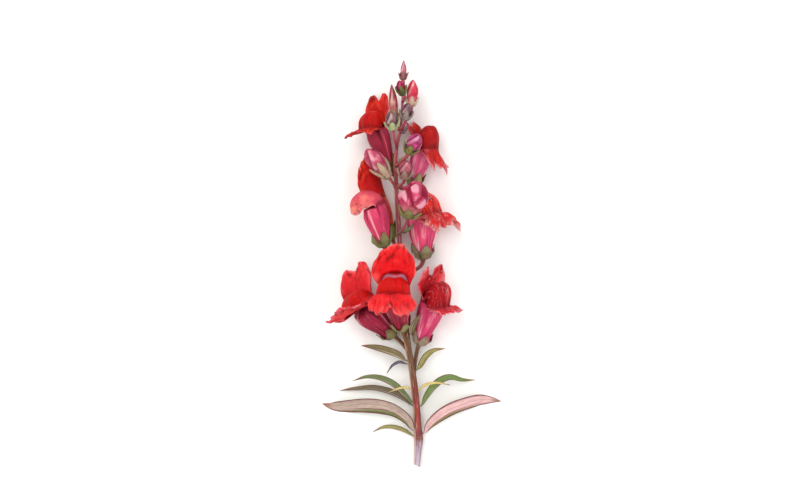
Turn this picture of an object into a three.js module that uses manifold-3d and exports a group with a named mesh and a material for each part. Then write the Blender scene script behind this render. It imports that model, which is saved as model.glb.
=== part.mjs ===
// A cut stem of garden snapdragon (Antirrhinum majus) lying on its back on a flat surface.
// Millimetres. +Z is up from the surface, the stem runs along Y from its cut end (-Y) to its
// tip (+Y), and the origin is under the middle of the plant, on the surface it lies on.
import * as THREE from "three";
import Module from "manifold-3d";

const wasm = await Module();
wasm.setup();

// ---------------------------------------------------------------- driving dimensions
const PETAL = 0.7; // thickness of a petal and of a corolla's wall
const SEPAL = 0.7; // thickness of a calyx
const BLADE = 0.75; // thickness of a leaf
const SEAT = 0.3; // gap between two pieces that touch

const rad = THREE.MathUtils.degToRad;
const smooth = (from, to, x) => THREE.MathUtils.smoothstep(x, from, to);
const mix = THREE.MathUtils.lerp;
const vec = ([x, y, z]) => new THREE.Vector3(x, y, z);

// ---------------------------------------------------------------- solids from surfaces

// Closed solid from vertices and triangles, as a manifold.
function solid(vertices, triangles) {
  const vertProperties = new Float32Array(vertices.flatMap((v) => [v.x, v.y, v.z]));
  const made = new wasm.Manifold(
    new wasm.Mesh({ numProp: 3, vertProperties, triVerts: new Uint32Array(triangles.flat()) }),
  );
  return made.volume() > 0 ? made : solid(vertices, triangles.map(([a, b, c]) => [a, c, b]));
}

function geometryOf(made) {
  const mesh = made.getMesh();
  const positions = new Float32Array(mesh.numVert * 3);
  for (let i = 0; i < mesh.numVert; i++)
    positions.set(mesh.vertProperties.subarray(i * mesh.numProp, i * mesh.numProp + 3), i * 3);
  const geometry = new THREE.BufferGeometry();
  geometry.setAttribute("position", new THREE.BufferAttribute(positions, 3));
  geometry.setIndex(new THREE.BufferAttribute(new Uint32Array(mesh.triVerts), 1));
  geometry.computeVertexNormals();
  return geometry;
}

// Triangles of a grid of rows, the same way on every quad. A wrapped grid joins its last column
// to its first, and a pole point (the vertex after the grid's) closes its first row.
function gridTriangles(rows, columns, wrapped, pole) {
  const triangles = [];
  const at = (i, j) => i * columns + (j % columns);
  for (let i = 0; i + 1 < rows; i++)
    for (let j = 0; j < (wrapped ? columns : columns - 1); j++) {
      triangles.push([at(i, j), at(i, j + 1), at(i + 1, j + 1)]);
      triangles.push([at(i, j), at(i + 1, j + 1), at(i + 1, j)]);
    }
  if (pole) for (let j = 0; j < columns; j++) triangles.push([rows * columns, at(0, j + 1), at(0, j)]);
  return triangles;
}

// A solid of even thickness round the middle surface given by rows of points.
function sheet(rows, thickness, { wrapped = false, pole = null } = {}) {
  const columns = rows[0].length;
  const middle = rows.flat();
  if (pole) middle.push(pole);
  const top = gridTriangles(rows.length, columns, wrapped, pole);
  const normals = middle.map(() => new THREE.Vector3());
  const edges = new Map();
  for (const [a, b, c] of top) {
    const ab = middle[b].clone().sub(middle[a]);
    const normal = ab.cross(middle[c].clone().sub(middle[a]));
    for (const k of [a, b, c]) normals[k].add(normal);
    for (const [p, q] of [[a, b], [b, c], [c, a]]) edges.set(p + "," + q, [p, q]);
  }
  const half = thickness / 2;
  const count = middle.length;
  const vertices = [
    ...middle.map((p, k) => p.clone().addScaledVector(normals[k].normalize(), half)),
    ...middle.map((p, k) => p.clone().addScaledVector(normals[k], -half)),
  ];
  const triangles = [...top, ...top.map(([a, b, c]) => [a + count, c + count, b + count])];
  for (const [p, q] of edges.values())
    if (!edges.has(q + "," + p)) {
      triangles.push([q, p, p + count]);
      triangles.push([q, p + count, q + count]);
    }
  return solid(vertices, triangles);
}

// A closed round body through rows of points round it, closed by a pole at each end.
function body(rows, first, last) {
  const columns = rows[0].length;
  const triangles = gridTriangles(rows.length, columns, true, true);
  const end = rows.length * columns + 1;
  const at = (j) => (rows.length - 1) * columns + (j % columns);
  for (let j = 0; j < columns; j++) triangles.push([end, at(j), at(j + 1)]);
  return solid([...rows.flat(), first, last], triangles);
}

// Direction of a line of points at one of them.
function heading(points, i) {
  const next = points[Math.min(i + 1, points.length - 1)];
  return next.clone().sub(points[Math.max(i - 1, 0)]).normalize();
}

// A round rod through points, with a radius at each.
function rod(points, radii, sides) {
  const rows = points.map((p, i) => {
    const along = heading(points, i);
    const across = new THREE.Vector3(0, 0, 1).cross(along).normalize();
    const over = along.clone().cross(across);
    return Array.from({ length: sides }, (_, j) => {
      const turn = (2 * Math.PI * j) / sides;
      const ring = across.clone().multiplyScalar(Math.cos(turn)).addScaledVector(over, Math.sin(turn));
      return p.clone().addScaledVector(ring, radii[i]);
    });
  });
  return body(rows, points[0], points.at(-1));
}

const curve = (points) => new THREE.CatmullRomCurve3(points.map(vec), false, "centripetal");

const flower = new THREE.Group();

function add(name, made, material) {
  const mesh = new THREE.Mesh(geometryOf(made), material);
  mesh.name = name;
  flower.add(mesh);
}

const finish = (color, roughness) => new THREE.MeshStandardMaterial({ color, roughness, metalness: 0 });
const RED = finish(0xd8231c, 0.55);
const PINK = finish(0xc8507c, 0.5);
const GREEN = finish(0x7a8a4e, 0.6);
const OLIVE = finish(0x75683f, 0.6);
const BARK = finish(0x7d3c3c, 0.5);
const YELLOW = finish(0xd8c684, 0.6);

// ---------------------------------------------------------------- stem

// The stem's middle line with its radius: [x, y, z, radius], from the cut end to the tip.
const STEM = [
  [3.2, -106, 2.3, 1.75], [3.7, -99, 2.35, 1.85], [4.1, -92.5, 2.4, 2.35], [3.6, -85, 2.8, 1.95],
  [3.1, -76, 3.7, 1.85], [2.0, -66, 4.8, 1.85], [0.2, -53, 6.2, 1.75], [-2.0, -40, 7.7, 1.7],
  [-3.6, -24, 9.3, 1.6], [-4.7, -9, 10.5, 1.5], [-5.7, 7, 11.3, 1.4], [-7.0, 28, 11.6, 1.25],
  [-7.8, 43, 11.2, 1.1], [-8.0, 53.5, 10.8, 1.0], [-7.2, 61.5, 10.5, 0.9], [-5.4, 70, 10.2, 0.8],
  [-4.6, 80, 9.9, 0.7], [-4.2, 90, 9.6, 0.6], [-4.0, 94, 9.5, 0.5],
];
const STEM_STEPS = 26;
const STEM_SIDES = 10;
const CUT_SLANT = 0.5; // how far the cut end leans, as a share of its width

const stemLine = curve(STEM);

function stemAt(y) {
  let low = 0;
  let high = 1;
  for (let i = 0; i < 30; i++) {
    const middle = (low + high) / 2;
    if (stemLine.getPoint(middle).y < y) low = middle;
    else high = middle;
  }
  return stemLine.getPoint(low);
}

function stemRadius(y) {
  const next = STEM.findIndex((station) => station[1] > y);
  if (next < 1) return STEM.at(next)[3];
  const [before, after] = [STEM[next - 1], STEM[next]];
  return mix(before[3], after[3], (y - before[1]) / (after[1] - before[1]));
}

function stemBody() {
  const points = stemLine.getPoints(STEM_STEPS);
  const rows = points.map((p, i) => {
    const along = stemLine.getTangent(i / STEM_STEPS);
    const across = new THREE.Vector3(0, 0, 1).cross(along).normalize();
    const over = along.clone().cross(across);
    const radius = stemRadius(p.y);
    return Array.from({ length: STEM_SIDES }, (_, j) => {
      const turn = (2 * Math.PI * j) / STEM_SIDES;
      const slant = i === 0 ? CUT_SLANT * radius * Math.cos(turn) : 0;
      return p.clone().addScaledVector(across, radius * Math.cos(turn))
        .addScaledVector(over, radius * Math.sin(turn)).addScaledVector(along, slant);
    });
  });
  return body(rows, points[0], points.at(-1));
}

// ---------------------------------------------------------------- blooms and buds

// Places a point given along a bloom's tube, up towards its upper lip, and sideways.
function directions({ base, along, up }) {
  const a = vec(along).normalize();
  const u = vec(up).projectOnPlane(a).normalize();
  const s = a.clone().cross(u);
  const from = vec(base);
  const place = (forward, rise, side) =>
    from.clone().addScaledVector(a, forward).addScaledVector(u, rise).addScaledVector(s, side);
  return place;
}

// What sags to the surface lies flat on it: the middle of a sheet stays half its thickness up.
const rest = (p, thickness) => p.setZ(Math.max(p.z, thickness / 2));

const bump = (x, width) => Math.exp(-((x / width) ** 2));

const UPPER_SHARE = rad(72); // half of the rim's angle that belongs to the upper lip
const UPPER_COLUMNS = 8;
const LOWER_COLUMNS = 12;
const TUBE_STEPS = [0.06, 0.24, 0.6, 1];
const LIP_STEPS = [0.16, 0.28, 0.39, 0.5, 0.56, 0.64, 0.82, 1];
const CLIMB_END = 0.16; // share of the lower lip's steps on which the palate climbs inside the mouth
const BALL_END = 0.5; // where its round front ends
const APRON_END = 0.56; // where its straight underside ends
const TUCK_END = 0.64; // and where the crease under it ends, from which the lobes spread
const TUCK = 1.3; // radius of that crease

// Radius of a corolla's tube, t from its base (0) to its throat (1): it narrows over a pouch at
// the base of its lower side.
function tubeRadius(bloom, t, turn) {
  const widening = 0.55 + 0.45 * smooth(0.05, 0.85, t);
  const under = Math.max(0, -Math.cos(turn));
  const pouch = 0.15 * bump(t - 0.13, 0.12) * under;
  const close = Math.sqrt(Math.min(1, 0.3 + 5 * t)) - 0.14 * smooth(0.8, 1, t) * under;
  return bloom.throat * (widening + pouch) * close;
}

function tubePoint(bloom, t, turn) {
  const radius = tubeRadius(bloom, t, turn);
  const rise = mix(1, 0.94, t) * radius * Math.cos(turn) + bloom.bend * t * t;
  return [bloom.tube * t, rise, mix(1, 1.12, t) * radius * Math.sin(turn)];
}

const blend3 = ([start, middle, end], x) =>
  x < 0.5 ? mix(start, middle, 2 * x) : mix(middle, end, 2 * x - 1);

const WALK_STEPS = 10;

// Walks along a line that leans from the tube's direction towards up, as far as share of it.
function walk(lean, length, share) {
  const step = (length * share) / WALK_STEPS;
  let forward = 0;
  let rise = 0;
  for (let k = 0; k < WALK_STEPS; k++) {
    const angle = rad(blend3(lean, (share * (k + 0.5)) / WALK_STEPS));
    forward += step * Math.cos(angle);
    rise += step * Math.sin(angle);
  }
  return [forward, rise, rad(blend3(lean, share))];
}

// Side and depth of a point on an arc that is half long, and turns by wrap, on each side of v = 0.
function arc(half, wrap, v) {
  const turn = wrap * v;
  if (Math.abs(turn) < 1e-6) return [half * v, 0];
  return [(half * Math.sin(turn)) / wrap, (half * (1 - Math.cos(turn))) / wrap];
}

// Upper lip, v from one corner of the mouth (-1) to the other (1), w from throat (0) to rim (1).
// Its cross-section opens from the tube's arc to its own, brow and curl are two folds over the
// mouth, and cheek is how far its sides hang down beside the palate.
function upperLip(bloom, v, w) {
  const { length, half, lean, notch, square, wrap, cheek, brow, arch, curl, wave } = bloom.upper;
  const rim = (1 - notch * bump(v, 0.2)) * (1 - Math.abs(v) ** square) ** 0.5;
  const share = Math.max(0.12, rim) * w;
  const [forward, rise, angle] = walk(lean, length, share);
  const spread = smooth(0, 0.55, share);
  const throat = 1.26 * bloom.throat;
  const [firstSide, firstDepth] = arc(throat, UPPER_SHARE, v);
  const [side, openDepth] = arc(mix(throat, half, spread), mix(UPPER_SHARE, rad(wrap), spread), v);
  const reached = share * length;
  const curled = 0.48 + 0.14 * bump(Math.abs(v) - 0.35, 0.22) - 0.25 * v * v;
  const ridges = brow * bump(reached - arch * (1 - 0.55 * v * v), 1.4)
    + curl * bump(reached - arch * curled, 1.5);
  const depth = openDepth + ridges * (1 - v ** 4) - wave * share * share * Math.sin(7 * v + 1);
  const facing = angle * smooth(0, 0.3, share);
  const drop = cheek * Math.abs(v) ** 3 * spread;
  return [
    forward + depth * Math.sin(facing),
    rise - depth * Math.cos(facing) + firstDepth - drop,
    side - firstSide,
  ];
}

// Lower lip: a palate that climbs to close the mouth and swells round in front of it, a crease
// under the palate, and lobes that spread from there. roll holds the angles from the tube's
// direction at the palate's end, at the crease and at the rim.
function lowerLip(bloom, v, w) {
  const { crest, reach, front, round, palate, swell, apron } = bloom.lower;
  const { length, roll, fan, clefts, skirt, wave } = bloom.lower;
  const [, throatRise, throatSide] = tubePoint(bloom, 1, Math.PI + v * (Math.PI - UPPER_SHARE));
  const [, cornerRise] = tubePoint(bloom, 1, UPPER_SHARE);
  const inner = 1 - v * v;
  const full = 0.2 + 0.8 * Math.sqrt(inner);
  const humps = 1.2 * (bump(v - 0.3, 0.2) + bump(v + 0.3, 0.2) - 0.15);
  const climb = mix(crest + humps, cornerRise, v ** 4) - throatRise;
  const part = (start, end) => THREE.MathUtils.clamp((w - start) / (end - start), 0, 1);
  const x = part(0, CLIMB_END);
  const [back, first, last] = roll.map(rad);
  const over = part(CLIMB_END, BALL_END) * back;
  const straight = apron * full * part(BALL_END, APRON_END);
  const tuck = mix(back, first, part(APRON_END, TUCK_END));
  const crease = TUCK * (0.3 + 0.7 * Math.sqrt(inner));
  const fall = part(TUCK_END, 1);
  const cut = clefts.reduce((left, [place, deep]) => left - deep * bump(v - place, 0.09), 1);
  const outer = 1 + 0.25 * bump(Math.abs(v) - 0.5, 0.25) - Math.abs(v) ** 2.5;
  const travel = length * cut * Math.max(0.08, outer) * fall;
  const angle = mix(first, last, fall);
  const ripple = wave * fall * Math.sin(9 * v + 2);
  const roundOut = round * full * (1 - Math.cos(over)) + straight * Math.sin(back)
    + crease * (Math.cos(tuck) - Math.cos(back));
  const lobeOut = travel * Math.sin(angle) - ripple * Math.cos(angle);
  const roundForward = reach * (0.3 + 0.7 * inner) * x + front * full * Math.sin(over)
    + straight * Math.cos(back) + crease * (Math.sin(back) - Math.sin(tuck));
  const lobeForward = travel * Math.cos(angle) + ripple * Math.sin(angle)
    - skirt * travel * Math.min(1, 4 * v * v);
  const narrow = rad(swell) * v;
  const fanned = rad(fan) * v;
  const crestSide = (palate * Math.sin(1.4 * v)) / Math.sin(1.4) - throatSide;
  return [
    roundForward + lobeForward,
    climb * Math.sin((Math.PI / 2) * x) - roundOut * Math.cos(narrow) - lobeOut * Math.cos(fanned),
    crestSide * x * x + roundOut * Math.sin(narrow) + lobeOut * Math.sin(fanned),
  ];
}

function corolla(bloom) {
  const place = directions(bloom);
  const columns = [];
  for (let j = 0; j <= UPPER_COLUMNS; j++) {
    const v = (2 * j) / UPPER_COLUMNS - 1;
    columns.push({ turn: v * UPPER_SHARE, lip: (w) => upperLip(bloom, v, w) });
  }
  for (let j = 1; j < LOWER_COLUMNS; j++) {
    const v = (2 * j) / LOWER_COLUMNS - 1;
    columns.push({ turn: Math.PI + v * (Math.PI - UPPER_SHARE), lip: (w) => lowerLip(bloom, v, w) });
  }
  const rows = TUBE_STEPS.map((t) =>
    columns.map(({ turn }) => rest(place(...tubePoint(bloom, t, turn)), PETAL)));
  for (const w of LIP_STEPS)
    rows.push(columns.map(({ turn, lip }) => {
      const throat = tubePoint(bloom, 1, turn);
      const step = lip(w);
      return rest(place(throat[0] + step[0], throat[1] + step[1], throat[2] + step[2]), PETAL);
    }));
  return sheet(rows, PETAL, { wrapped: true, pole: place(0, 0, 0) });
}

// Radius of a closed bud, t from its base (0) to its tip (1).
function budRadius(bud, t, turn) {
  const shape = Math.sin(Math.PI * Math.min(1, 0.08 + 0.92 * t) ** bud.fat) ** bud.blunt;
  return bud.radius * shape * (1 - 0.06 * Math.cos(2 * turn));
}

const BUD_STEPS = [0.06, 0.22, 0.42, 0.62, 0.8, 0.93];
const BUD_COLUMNS = 10;

function budPoint(bud, t, turn) {
  const radius = budRadius(bud, t, turn);
  return [bud.length * t, radius * Math.cos(turn) + bud.bend * t * t, radius * Math.sin(turn)];
}

function closedBud(bud) {
  const place = directions(bud);
  const turns = Array.from({ length: BUD_COLUMNS }, (_, j) => (2 * Math.PI * j) / BUD_COLUMNS);
  const rows = BUD_STEPS.map((t) => turns.map((turn) => place(...budPoint(bud, t, turn))));
  return body(rows, place(0, 0, 0), place(bud.length, bud.bend, 0));
}

const CALYX_STEPS = 4;
const CALYX_START = 0.05; // where its first ring lies, as a share of the bloom's length

// Five-lobed calyx round the base of a bloom or bud, a seat's gap outside it. skin gives the
// bloom's middle surface, and half is how far its outside stands off that.
function calyx(bloom, skin, half, columns) {
  const { cup, lobe, flare } = bloom.calyx;
  const place = directions(bloom);
  const length = bloom.tube ?? bloom.length;
  const off = half + SEAT + SEPAL / 2;
  const rows = [];
  for (let i = 0; i < CALYX_STEPS; i++)
    rows.push(Array.from({ length: columns }, (_, j) => {
      const turn = (2 * Math.PI * j) / columns;
      const own = cup + lobe * Math.abs(Math.cos(2.5 * turn)) ** 1.3;
      const share = i / (CALYX_STEPS - 1);
      const reach = mix(CALYX_START * length, own, share);
      const [forward, rise, side] = skin(bloom, reach / length, turn);
      const out = (off + flare * share ** 2) / Math.hypot(rise, side);
      return rest(place(forward - (i === 0 ? 0.6 * off : 0), rise * (1 + out), side * (1 + out)), SEPAL);
    }));
  return sheet(rows, SEPAL, { wrapped: true, pole: place(-off, 0, 0) });
}

// ---------------------------------------------------------------- leaves

const LEAF_STEPS = 10;
const LEAFLET_STEPS = 6;
const LEAF_COLUMNS = 5;

// A narrow leaf along its spine. face holds the direction its broad side looks, from base to
// tip. fold lifts both margins towards that side, roll turns one margin (v = -1) over it.
function leaf({ spine, half, face, fold = 0.2, roll = 0 }) {
  const steps = spine.length > 5 ? LEAF_STEPS : LEAFLET_STEPS;
  const points = curve(spine).getPoints(steps);
  const faces = face.map(vec);
  const rows = points.map((p, i) => {
    const t = i / steps;
    const along = heading(points, i);
    const place = t * (faces.length - 1);
    const low = Math.min(Math.floor(place), faces.length - 2);
    const over = faces[low].clone().lerp(faces[low + 1], place - low).projectOnPlane(along).normalize();
    const across = over.clone().cross(along);
    const width = half * Math.max(Math.sin(Math.PI * t ** 0.8) ** 0.8, 0.3 * (1 - t) ** 2, 0.1);
    return Array.from({ length: LEAF_COLUMNS }, (_, j) => {
      const v = (2 * j) / (LEAF_COLUMNS - 1) - 1;
      const rolled = roll * Math.max(0, -v) ** 2;
      const point = p.clone().addScaledVector(across, width * v * (1 - 0.35 * rolled));
      return rest(point.addScaledVector(over, width * (fold * Math.abs(v) + rolled)), BLADE);
    });
  });
  return sheet(rows, BLADE);
}

const leaves = [
  { name: "leaf_big_left", half: 4.7, fold: 0.1, roll: 0.5,
    face: [[-0.3, -0.3, 1], [0, -0.25, 1], [0, -0.1, 1]],
    spine: [[0.95, -87.9, 3.6], [-1.6, -82, 5.2], [-8, -76.6, 6], [-15.8, -74.3, 5.8], [-24, -73.8, 4.6],
      [-32, -74.4, 2], [-38, -74.9, -0.5], [-42, -74.9, -0.9], [-46.4, -73.9, -1]] },
  { name: "leaf_big_right", half: 3.6, fold: 0.15, roll: -0.4,
    face: [[0.4, -0.3, 1], [0, -0.3, 1], [0, -0.1, 1]],
    spine: [[7.1, -89.6, 3.4], [9.4, -85, 5.2], [13.8, -80.6, 6.2], [19.3, -77, 6.2], [25, -74.6, 5.2],
      [34.5, -72, 2], [39, -71.7, -0.5], [43, -71.9, -0.9], [47.2, -72.6, -1]] },
  { name: "leaf_low_left", half: 1.1, face: [[0, 0, 1], [0, 0, 1]],
    spine: [[1.2, -90.8, 1.4], [-3, -88, 1.3], [-9, -86, 1], [-14.5, -86.2, 0.7], [-19.8, -88.6, 0.5]] },
  { name: "leaf_middle_left_upper", half: 1.6, face: [[-0.5, 0.2, 1], [0, 0.2, 1]],
    spine: [[1.1, -73.4, 5.8], [-3, -68.6, 8.4], [-8.6, -63.2, 10], [-15.5, -59.9, 9.8], [-23, -59.3, 8],
      [-30.7, -61.8, 4.8]] },
  { name: "leaf_middle_left_lower", half: 1.6, face: [[-0.5, 0.2, 1], [0, 0.2, 1]],
    spine: [[0.7, -74.8, 3], [-3.4, -71, 3.8], [-8.8, -68, 4], [-18.7, -65.4, 3.2], [-29, -65.8, 2],
      [-37.4, -67, 1]] },
  { name: "leaf_middle_right", half: 1.9, face: [[0.5, 0.2, 1], [0, 0.2, 1]],
    spine: [[5.7, -75.2, 4], [7.6, -70.4, 5.6], [11.2, -65, 6.6], [15.6, -61.2, 6.6], [20.5, -59.6, 5.8],
      [27, -61.2, 4], [33.8, -61.4, 1.6]] },
  { name: "leaf_yellow_left", half: 0.7, face: [[0, 0, 1], [0, 0, 1]],
    spine: [[-0.15, -66.6, 6.4], [-1.6, -64.9, 9.6], [-6, -65, 12.8], [-12.5, -67.6, 12.8]] },
  { name: "leaf_yellow_right", half: 0.8, face: [[0.3, 0, 1], [0, 0, 1]],
    spine: [[4.4, -66.8, 6], [6.8, -64, 8.2], [12.5, -62.4, 9.4], [20.3, -63.5, 8.6]] },
  { name: "bract_left", half: 1.9, face: [[-0.5, 0.3, 1], [0, 0.2, 1]],
    spine: [[-2.6, -51.2, 7], [-6.5, -47.8, 8.2], [-13.5, -45.2, 8], [-20, -43.8, 6.6], [-26, -43.2, 4.2]] },
  { name: "bract_left_small", half: 0.8, face: [[0, 0, 1], [0, 0, 1]],
    spine: [[-2.2, -52.8, 5.2], [-6, -51.8, 5], [-9.6, -53.6, 4], [-12.5, -57.7, 2.6]] },
  { name: "bract_right", half: 1.7, face: [[0.5, 0, 1], [0, 0, 1]],
    spine: [[3.2, -56.2, 5.6], [5.2, -52.8, 6.2], [7.6, -48.8, 6.2], [11.6, -45.8, 5.4], [17.7, -44.8, 4]] },
  { name: "leaflet_lower_right", half: 1.4, face: [[0.3, 0, 1], [0, 0, 1]],
    spine: [[0, -37.1, 10.1], [0.8, -34.2, 13.2], [2.5, -30, 17], [5.2, -25.6, 18.4]] },
  { name: "leaflet_right", half: 1.1, face: [[0.3, 0, 1], [0, 0, 1]],
    spine: [[-4.4, 15.6, 13.2], [-2.8, 16.6, 14.8], [-0.4, 18.2, 15.6], [1.8, 21, 15.6]] },
  { name: "leaflet_upper_right", half: 1.1, face: [[0.3, 0, 1], [0, 0, 1]],
    spine: [[-6.6, 52.2, 11.9], [-4.4, 53.8, 12.6], [-2.4, 55.2, 12.4], [-0.4, 57.2, 11.4]] },
  { name: "leaflet_top", half: 0.9, face: [[0.3, 0, 1], [0, 0, 1]],
    spine: [[-4.8, 67.2, 11.5], [-3.6, 68.3, 13], [-2.5, 69.9, 14.4], [-1.5, 72.6, 15.2]] },
];

for (const blade of leaves) add(blade.name, leaf(blade), blade.name.includes("yellow") ? YELLOW : GREEN);

// ---------------------------------------------------------------- the open flowers

// The lips as most blooms have them. clefts hold each cleft's place (v) and its depth, as a share
// of the lobes' length, and skirt draws the outer lobes back beside the tube.
const UPPER = {
  length: 17, half: 13, lean: [12, 50, 95], notch: 0.2, square: 4, wrap: 20, cheek: 0, brow: 0.8,
  arch: 4, curl: 0, wave: 0.7,
};
const LOWER = {
  crest: 3, reach: 3.5, front: 6, round: 5.6, palate: 7, swell: 12, apron: 1, length: 11,
  roll: [160, 85, 105], fan: 60, clefts: [[-0.34, 0.3], [0.34, 0.3]], skirt: 0.25, wave: 0.8,
};
const OPEN_CALYX = { cup: 3, lobe: 4, flare: 0.3 };
const GROWN = { tube: 21, throat: 6.8, bend: 0, calyx: OPEN_CALYX };
const YOUNG = { tube: 20, throat: 5.6, bend: 0, calyx: OPEN_CALYX };

const blooms = [
  { ...GROWN, name: "front", joins: -43, tube: 24.5,
    base: [-4.9, -33.5, 13.4], along: [-0.14, 0.74, 0.66], up: [0.15, 0.66, -0.73],
    upper: { ...UPPER, length: 22, half: 14.5, lean: [20, 40, 62], notch: 0, square: 1.5, wrap: 46,
      cheek: 7, brow: 2, arch: 8.5, curl: 2.2 },
    lower: { ...LOWER, crest: 4.5, palate: 7.8, length: 9.5, roll: [145, 25, 125], fan: 55,
      clefts: [[0, 0.35], [-0.5, 0.2], [0.5, 0.2]] } },
  { ...GROWN, name: "lower_left", joins: -46,
    base: [-9.6, -37.4, 5.4], along: [-0.69, 0.62, 0.38], up: [0.28, 0.58, -0.76],
    upper: { ...UPPER, length: 21, half: 12, lean: [20, 50, 65], notch: 0.12 },
    lower: { ...LOWER, crest: 6.5, front: 8, round: 7, palate: 9, length: 12, roll: [145, 50, 40],
      fan: 70 } },
  { ...GROWN, name: "lower_right", joins: -63, tube: 23,
    base: [4.4, -41.6, 5.4], along: [0.3, 0.9, 0.3], up: [-0.8, 0.4, -0.45],
    upper: { ...UPPER, length: 19, half: 14, lean: [0, 0, 8], notch: 0.3 },
    lower: { ...LOWER, front: 9, round: 5, palate: 8, apron: 4, length: 6.5, roll: [170, 80, 70] } },
  { ...YOUNG, name: "left_hood", joins: 4,
    base: [-10.2, 13.4, 5.6], along: [-0.4, 0.91, 0], up: [0.55, 0.3, 0.8],
    upper: { ...UPPER, length: 24, half: 11, lean: [0, 4, 0], notch: 0, square: 1.3, wrap: 75, brow: 0 },
    lower: { ...LOWER, crest: 0.5, reach: 4, front: 2, round: 2, palate: 5, length: 4,
      roll: [100, 60, 40], fan: 40 } },
  { ...GROWN, name: "left_drooping", joins: 0, tube: 20,
    base: [-13.8, 9.4, 18.2], along: [-0.27, 0.95, 0.12], up: [0.9, 0.3, 0.1],
    upper: { ...UPPER, length: 32, lean: [0, -95, -205], notch: 0.1, square: 6, wrap: 160, brow: 0 },
    lower: { ...LOWER, crest: 4, reach: 2, front: 5, round: 5.5, palate: 4.6, swell: 0, length: 3,
      roll: [120, 90, 110], fan: 40 } },
  { ...GROWN, name: "right_ruffled", joins: -6, throat: 7.6,
    base: [6.2, 3, 5.9], along: [-0.03, 0.99, 0.06], up: [-0.8, 0.25, -0.55],
    upper: { ...UPPER, length: 13, half: 8, lean: [-5, 0, 10] },
    lower: { ...LOWER, front: 9.5, round: 6, palate: 8, apron: 4, length: 10.5, roll: [160, 80, 125],
      wave: 1.4 } },
  { ...YOUNG, name: "upper_left", joins: 46, tube: 22,
    base: [-11, 49.4, 5.2], along: [-0.33, 0.92, 0.2], up: [0.65, 0.25, -0.65],
    upper: { ...UPPER, half: 9, lean: [0, 15, 50] },
    lower: { ...LOWER, crest: 4, front: 6.4, round: 5.4, palate: 6.4, apron: 2, length: 7.5,
      roll: [160, 75, 85] } },
  { ...YOUNG, name: "upper_right", joins: 41,
    base: [0.8, 41, 5.2], along: [0.29, 0.94, 0.14], up: [-0.82, 0.35, -0.4],
    upper: { ...UPPER, length: 13, half: 9.5, lean: [10, 35, 60] },
    lower: { ...LOWER, front: 9, round: 4.6, palate: 6, apron: 4, length: 10.5, roll: [165, 140, 130],
      fan: 45 } },
];

for (const bloom of blooms) {
  add(`corolla_${bloom.name}`, corolla(bloom), RED);
  add(`calyx_${bloom.name}`, calyx(bloom, tubePoint, PETAL / 2, 20), OLIVE);
}

// ---------------------------------------------------------------- the buds

const BUD_SLACK = 0.3; // how much looser a bud's calyx sits than a seat's gap
const BUD_CALYX = { cup: 1.6, lobe: 2.8, flare: 0 };
// fat above 1 puts a bud's widest place nearer its tip, and a smaller blunt makes its tip rounder.
const CLOSED = { bend: 0, fat: 1.1, blunt: 0.55, up: [0, 0, 1], calyx: BUD_CALYX };

const buds = [
  { ...CLOSED, name: "right_folded", length: 19, radius: 6.8, joins: 15, fat: 1.2, blunt: 0.5,
    base: [-1.6, 24, 26.8], along: [0.27, 0.93, 0.16], calyx: { cup: 1.8, lobe: 2.6, flare: 0 } },
  { ...CLOSED, name: "left_large", length: 18, radius: 4.3, joins: 38, fat: 1.3,
    base: [-12, 45, 16], along: [-0.62, 0.76, 0.12], calyx: { cup: 2.6, lobe: 6, flare: 0 } },
  { ...CLOSED, name: "right_round", length: 9, radius: 3.4, joins: 39,
    base: [-3.4, 44.6, 16.1], along: [0.12, 0.93, 0.3] },
  { ...CLOSED, name: "right_upper", length: 11, radius: 3.6, joins: 50,
    base: [-1.3, 57.4, 19.6], along: [0.5, 0.82, 0.25] },
  { ...CLOSED, name: "front_mauve", length: 9, radius: 3.1, joins: 60,
    base: [-9.5, 69.5, 23.8], along: [-0.12, 0.92, 0.3] },
  { ...CLOSED, name: "upper_brown", length: 8, radius: 2.8, joins: 69,
    base: [-2.8, 75, 16.4], along: [0.16, 0.95, 0.2] },
  { ...CLOSED, name: "upper_slender", length: 19, radius: 2.2, joins: 69, fat: 0.85, blunt: 0.7,
    base: [-8.5, 74, 13], along: [-0.08, 0.98, 0] },
  { ...CLOSED, name: "crown_right", length: 13, radius: 2.8, joins: 77, fat: 1, blunt: 0.6,
    base: [0.3, 82.4, 11.5], along: [0.06, 0.98, 0] },
  { ...CLOSED, name: "top_round", length: 7, radius: 2.1, joins: 84,
    base: [-4.4, 88, 14.5], along: [-0.25, 0.95, 0.1] },
  { ...CLOSED, name: "tip", length: 9.5, radius: 1.5, joins: 92, fat: 0.8, blunt: 0.8,
    base: [-4.1, 96.4, 9.5], along: [0.04, 1, 0], calyx: { cup: 1, lobe: 2, flare: 0 } },
];

for (const bud of buds) {
  add(`bud_${bud.name}`, closedBud(bud), PINK);
  add(`calyx_${bud.name}`, calyx(bud, budPoint, BUD_SLACK, 10), OLIVE);
}

// ---------------------------------------------------------------- the stem with its pedicels

const PEDICEL_SIDES = 6;
const PEDICEL_STEPS = 4;

function pedicel({ base, along, joins, tube }) {
  const axis = vec(along).normalize();
  const foot = (tube ? PETAL / 2 : BUD_SLACK) + SEAT + SEPAL;
  const end = vec(base).addScaledVector(axis, -foot - SEAT);
  const start = stemAt(joins);
  const thick = tube ? 1.0 : 0.7;
  const knee = end.clone().addScaledVector(axis, -0.35 * end.distanceTo(start));
  const line = new THREE.QuadraticBezierCurve3(start, knee, end);
  const points = line.getPoints(PEDICEL_STEPS);
  const radii = points.map((_, i) => thick * mix(0.9, 1.15, i / PEDICEL_STEPS));
  return rod(points, radii, PEDICEL_SIDES);
}

let stem = stemBody();
for (const bloom of [...blooms, ...buds]) stem = stem.add(pedicel(bloom));
add("stem", stem, BARK);

export default flower;
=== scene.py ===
"""Looks of a cut snapdragon stem that lies on a pale surface: blooms, buds, calyxes, leaves, stem."""

import math

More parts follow.
